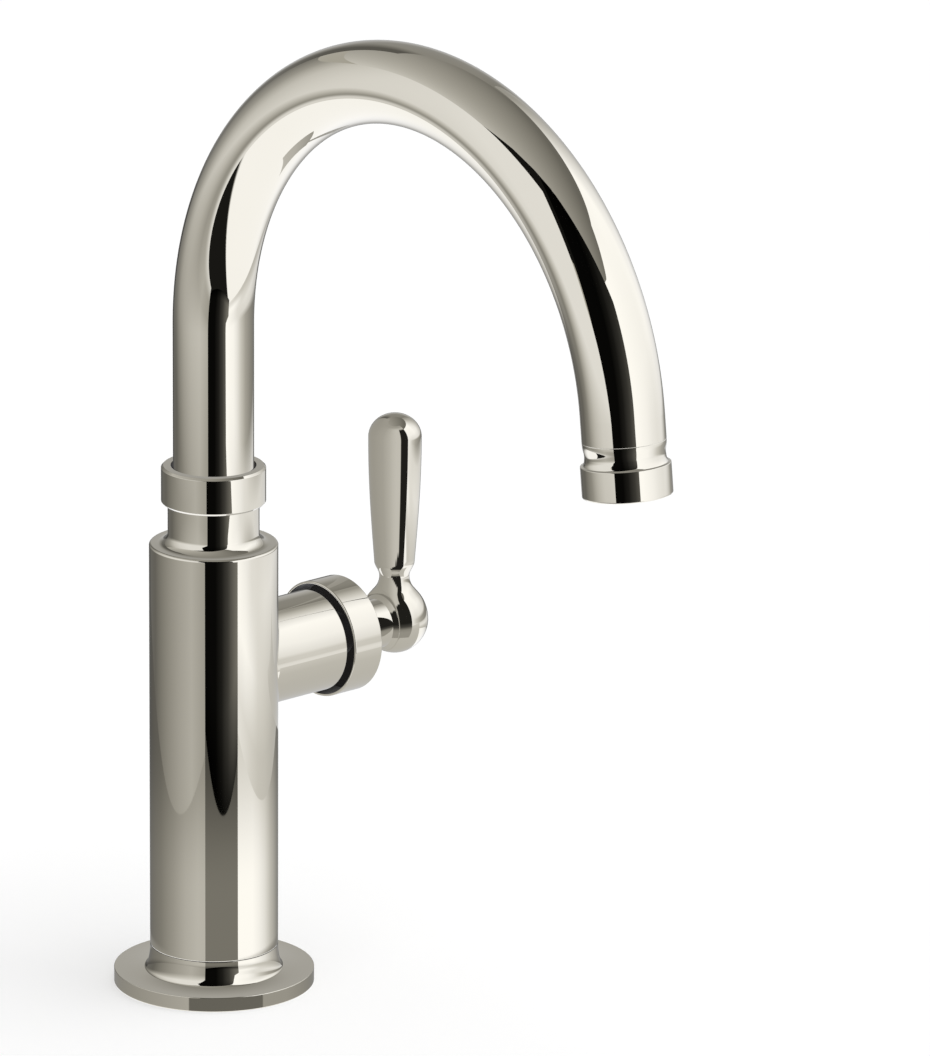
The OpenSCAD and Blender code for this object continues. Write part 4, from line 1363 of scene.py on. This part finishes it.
t = np.linspace(0, 1, 6)[:, None, None]
edge_end = cut_ring(edge_r - seam_edge)
edge_patch = (1 - t) ** 2 * skin_patch[-1] + 2 * t * (1 - t) * cut_ring(edge_r) + t**2 * edge_end
all_turns = np.pi - 2 * np.pi * np.arange(body_columns + 1) / body_columns
half_round = body_columns // 2
band_columns = np.arange(half_round + seam_columns, half_round - seam_columns + body_columns + 1)
band_turns = np.pi - 2 * np.pi * band_columns / body_columns
last_row = lever_stops[-1]
spigot_offset = seam_offset + spigot_len
lever_patches = [
    lever_point(all_turns[None, :], np.arange(0, seam_rows[0] + 1)[:, None]),
    lever_point(band_turns[None, :], np.arange(seam_rows[0], seam_rows[1] + 1)[:, None]),
    lever_point(all_turns[None, :], np.arange(seam_rows[1], last_row + 1)[:, None]),
    skin_patch,
    edge_patch,
    between(edge_patch[-1], cut_ring(lever_spigot_r), 5),
    between(cut_ring(lever_spigot_r), cut_ring(lever_spigot_r, spigot_offset), 2),
    between(cut_ring(lever_spigot_r, spigot_offset), cut_ring(0, spigot_offset), 1),
]
lever = piece("baluster_lever", lever_patches, polished_nickel)
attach(lever, "handle")
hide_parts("lever")


# ---- Mounting shank ----
# The long brass tube under the body. Its outside carries a fine thread from end to end, which screws into
# the body above and takes the mounting nut below, and the hoses pass through its bore.
shank_bore_r = 12.6
thread_pitch = 1.5
thread_depth = 0.85
thread_fade = 1.6
thread_columns = 120
thread_step = 0.15
ridge_slope = 1.25
ridge_shift = 0.125
shank_chamfer = 0.9

turned_brass = uneven(
    finish("turned_brass", Metallic=1.0),
    Pale_Tone=(0.83, 0.62, 0.31, 1),
    Dark_Tone=(0.72, 0.50, 0.22, 1),
    Smoothest=0.2,
    Roughest=0.38,
    Broad_Scale=55.0,
    Grain_Scale=1500.0,
    Relief=0.00004,
)
thread_turn = np.linspace(0, 2 * np.pi, thread_columns + 1)
thread_rows = round((shank_high[2] - shank_low[2]) / thread_step) + 1
thread_z = np.linspace(shank_low[2], shank_high[2], thread_rows)[:, None]
phase = (thread_z - shank_low[2]) / thread_pitch - thread_turn / (2 * np.pi)
from_end = np.minimum(thread_z - shank_low[2], shank_high[2] - thread_z)
ridge = np.clip(ridge_slope * np.abs(2 * (phase % 1) - 1) - ridge_shift, 0, 1)
thread_r = shank_high[0] - thread_depth * (1 - ridge) * smooth(from_end, 0, thread_fade)
thread_r = np.minimum(thread_r, shank_high[0] - shank_chamfer + from_end)
outside = around(thread_turn[None, :], thread_z, 1.0)
outside[..., :2] *= thread_r[..., None]
foot_ring, head_ring = outside[:1], outside[-1:]
bore_foot = around(thread_turn[None, :], shank_low[2], shank_bore_r)
bore_head = around(thread_turn[None, :], shank_high[2], shank_bore_r)
mounting_shank = piece(
    "threaded_shank",
    [
        outside,
        np.concatenate([head_ring, bore_head]),
        between(bore_head[0], bore_foot[0], 10),
        np.concatenate([bore_foot, foot_ring]),
    ],
    turned_brass,
)
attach(mounting_shank, "body")
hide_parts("mounting_shank")


# ---- Washers ----
# A rubber washer against the deck's underside keeps the clamping soft, and a pressed steel washer spreads
# the nut's load on it. Both CAD shapes stay.
pressed_steel = uneven(
    finish("pressed_steel", Metallic=1.0),
    Pale_Tone=(0.66, 0.65, 0.63, 1),
    Dark_Tone=(0.52, 0.51, 0.49, 1),
    Smoothest=0.22,
    Roughest=0.42,
    Broad_Scale=70.0,
    Grain_Scale=1800.0,
    Relief=0.00004,
)
dress(moulded_rubber, "rubber_washer")
dress(pressed_steel, "steel_washer")


# ---- Mounting nut ----
# A hexagonal brass nut that draws the faucet down onto the deck. Its corners are turned off at both ends,
# as on any nut cut from bar.
nut_face_r = 20.1
nut_columns = 240
nut_slope = np.tan(np.radians(60))
mounting_bore_r = 15.05
mounting_bore_chamfer = 0.4

mounting_low, mounting_high = span("mounting_nut")
flats_half = mounting_high[1]
nut_turn = np.linspace(0, 2 * np.pi, nut_columns + 1)
hexagon = flats_half / np.cos(nut_turn % (np.pi / 3) - np.pi / 6)
nut_steps = np.array([0.0, 0.3, 0.6, 0.9, 1.2, 1.5, 1.8, 2.2])
nut_rows = np.concatenate([mounting_low[2] + nut_steps, mounting_high[2] - nut_steps[::-1]])
nut_limit = nut_face_r + nut_slope * np.minimum(nut_rows - mounting_low[2], mounting_high[2] - nut_rows)
side_r = np.minimum(hexagon, nut_limit[:, None])
nut_section = np.array(
    [
        [mounting_bore_r + mounting_bore_chamfer, mounting_high[2]],
        [mounting_bore_r, mounting_high[2] - mounting_bore_chamfer],
        [mounting_bore_r, mounting_low[2] + mounting_bore_chamfer],
        [mounting_bore_r + mounting_bore_chamfer, mounting_low[2]],
    ]
)
bore_rows = turned(nut_section, nut_columns)
side_rows = around(nut_turn[None, :], nut_rows[:, None], 1.0)
side_rows[..., :2] *= side_r[..., None]
nut_skin = np.concatenate([bore_rows[-1:], side_rows, bore_rows])
mounting_nut = piece("hexagon_nut", [nut_skin], turned_brass, crease=25)
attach(mounting_nut, "body")
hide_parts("mounting_nut")


# ---- Spout bearing ----
# A hollow brass post, brazed into the tube's foot, turns in the body's socket in two acetal bushings. Two
# rubber rings in its grooves seal it, an acetal washer carries the spout's weight, and a split ring of
# spring steel in the tube's groove holds it down under the collar's lip. These CAD shapes stay.
white_acetal = uneven(
    finish("white_acetal", Subsurface_Weight=0.15, Subsurface_Scale=0.001),
    Pale_Tone=(0.88, 0.87, 0.83, 1),
    Dark_Tone=(0.80, 0.79, 0.74, 1),
    Smoothest=0.3,
    Roughest=0.45,
    Broad_Scale=80.0,
    Grain_Scale=2200.0,
    Relief=0.00003,
)
dress(turned_brass, "swivel_post")
dress(white_acetal, "upper_bushing", "lower_bushing", "glide_washer")
dress(moulded_rubber, "upper_oring", "lower_oring")
dress(pressed_steel, "keeper_ring")


# ---- Aerator ----
# An acetal insert between two discs of woven steel mesh, held in the outlet's ring against a rubber
# washer. The CAD shapes stay, and the mesh is a pattern of crossed waves laid square to the outlet's
# axis.
mesh_wires = 1900.0
wire_shadow = -0.2
wire_crest = 0.6
wire_height = 0.0001

woven_steel = finish("woven_steel", Metallic=1.0)
nodes, links = woven_steel.node_tree.nodes, woven_steel.node_tree.links
place = nodes.new("ShaderNodeMapping")
place.inputs["Rotation"].default_value = (-bend_turn, 0, 0)
links.new(nodes.new("ShaderNodeTexCoord").outputs["Object"], place.inputs["Vector"])
parts = nodes.new("ShaderNodeSeparateXYZ")
links.new(place.outputs["Vector"], parts.inputs["Vector"])
waves = []
for axis in ("X", "Y"):
    phase_node = nodes.new("ShaderNodeMath")
    phase_node.operation = "MULTIPLY"
    phase_node.inputs[1].default_value = mesh_wires * 2 * np.pi
    links.new(parts.outputs[axis], phase_node.inputs[0])
    wave = nodes.new("ShaderNodeMath")
    wave.operation = "SINE"
    links.new(phase_node.outputs[0], wave.inputs[0])
    waves.append(wave)
wires = nodes.new("ShaderNodeMath")
wires.operation = "MAXIMUM"
links.new(waves[0].outputs[0], wires.inputs[0])
links.new(waves[1].outputs[0], wires.inputs[1])
shade = nodes.new("ShaderNodeMapRange")
shade.inputs["From Min"].default_value = wire_shadow
shade.inputs["From Max"].default_value = wire_crest
links.new(wires.outputs[0], shade.inputs["Value"])
wire_colour = nodes.new("ShaderNodeMix")
wire_colour.data_type = "RGBA"
sockets = {socket.identifier: socket for socket in wire_colour.inputs}
# The near-black between the wires is painted shade for the gaps of the weave.
sockets["A_Color"].default_value = (0.03, 0.03, 0.03, 1)
sockets["B_Color"].default_value = (0.60, 0.59, 0.57, 1)
links.new(shade.outputs["Result"], sockets["Factor_Float"])
shader = nodes["Principled BSDF"]
shader.inputs["Roughness"].default_value = 0.3
wire_result = next(s for s in wire_colour.outputs if s.identifier == "Result_Color")
links.new(wire_result, shader.inputs["Base Color"])
wire_relief = nodes.new("ShaderNodeBump")
wire_relief.inputs["Distance"].default_value = wire_height
links.new(wires.outputs[0], wire_relief.inputs["Height"])
links.new(wire_relief.outputs["Normal"], shader.inputs["Normal"])
dress(woven_steel, "inlet_screen", "outlet_screen")
dress(white_acetal, "aerator_insert")
dress(moulded_rubber, "aerator_washer")


# ---- Cartridge ----
# The joystick cartridge in the barrel: an acetal base with rubber port seals, a grey housing, two lapped
# ceramic discs, an acetal disc carrier and turning guide, and a steel stem on a steel pin. A brass nut
# screws it into the barrel. These CAD shapes stay.
grey_acetal = uneven(
    finish("grey_acetal"),
    Pale_Tone=(0.34, 0.35, 0.36, 1),
    Dark_Tone=(0.27, 0.28, 0.29, 1),
    Smoothest=0.32,
    Roughest=0.5,
    Broad_Scale=80.0,
    Grain_Scale=2200.0,
    Relief=0.00003,
)
lapped_ceramic = uneven(
    finish("lapped_ceramic", Coat_Weight=0.4, Coat_Roughness=0.06),
    Pale_Tone=(0.93, 0.92, 0.88, 1),
    Dark_Tone=(0.88, 0.87, 0.83, 1),
    Smoothest=0.1,
    Roughest=0.2,
    Broad_Scale=90.0,
    Grain_Scale=3000.0,
    Relief=0.00001,
)
dress(white_acetal, "cartridge_base", "disc_carrier", "cartridge_guide")
dress(moulded_rubber, "port_seals")
dress(grey_acetal, "cartridge_housing")
dress(lapped_ceramic, "fixed_disc", "moving_disc")
dress(pressed_steel, "stem_pin", "cartridge_stem")
# The cartridge nut's brass is painted almost black, as painted shade of the cavity round it.
painted_shade_brass = uneven(
    finish("painted_shade_brass", Specular_IOR_Level=0.2),
    Pale_Tone=(0.05, 0.035, 0.015, 1),
    Dark_Tone=(0.025, 0.018, 0.008, 1),
    Smoothest=0.4,
    Roughest=0.6,
    Broad_Scale=60.0,
    Grain_Scale=1500.0,
    Relief=0.00003,
)
dress(painted_shade_brass, "cartridge_nut")


# ---- Set screw ----
# The small steel grub screw with a hexagon socket, under the hub. It clamps the hub on the stem's flat.
dress(pressed_steel, "set_screw")
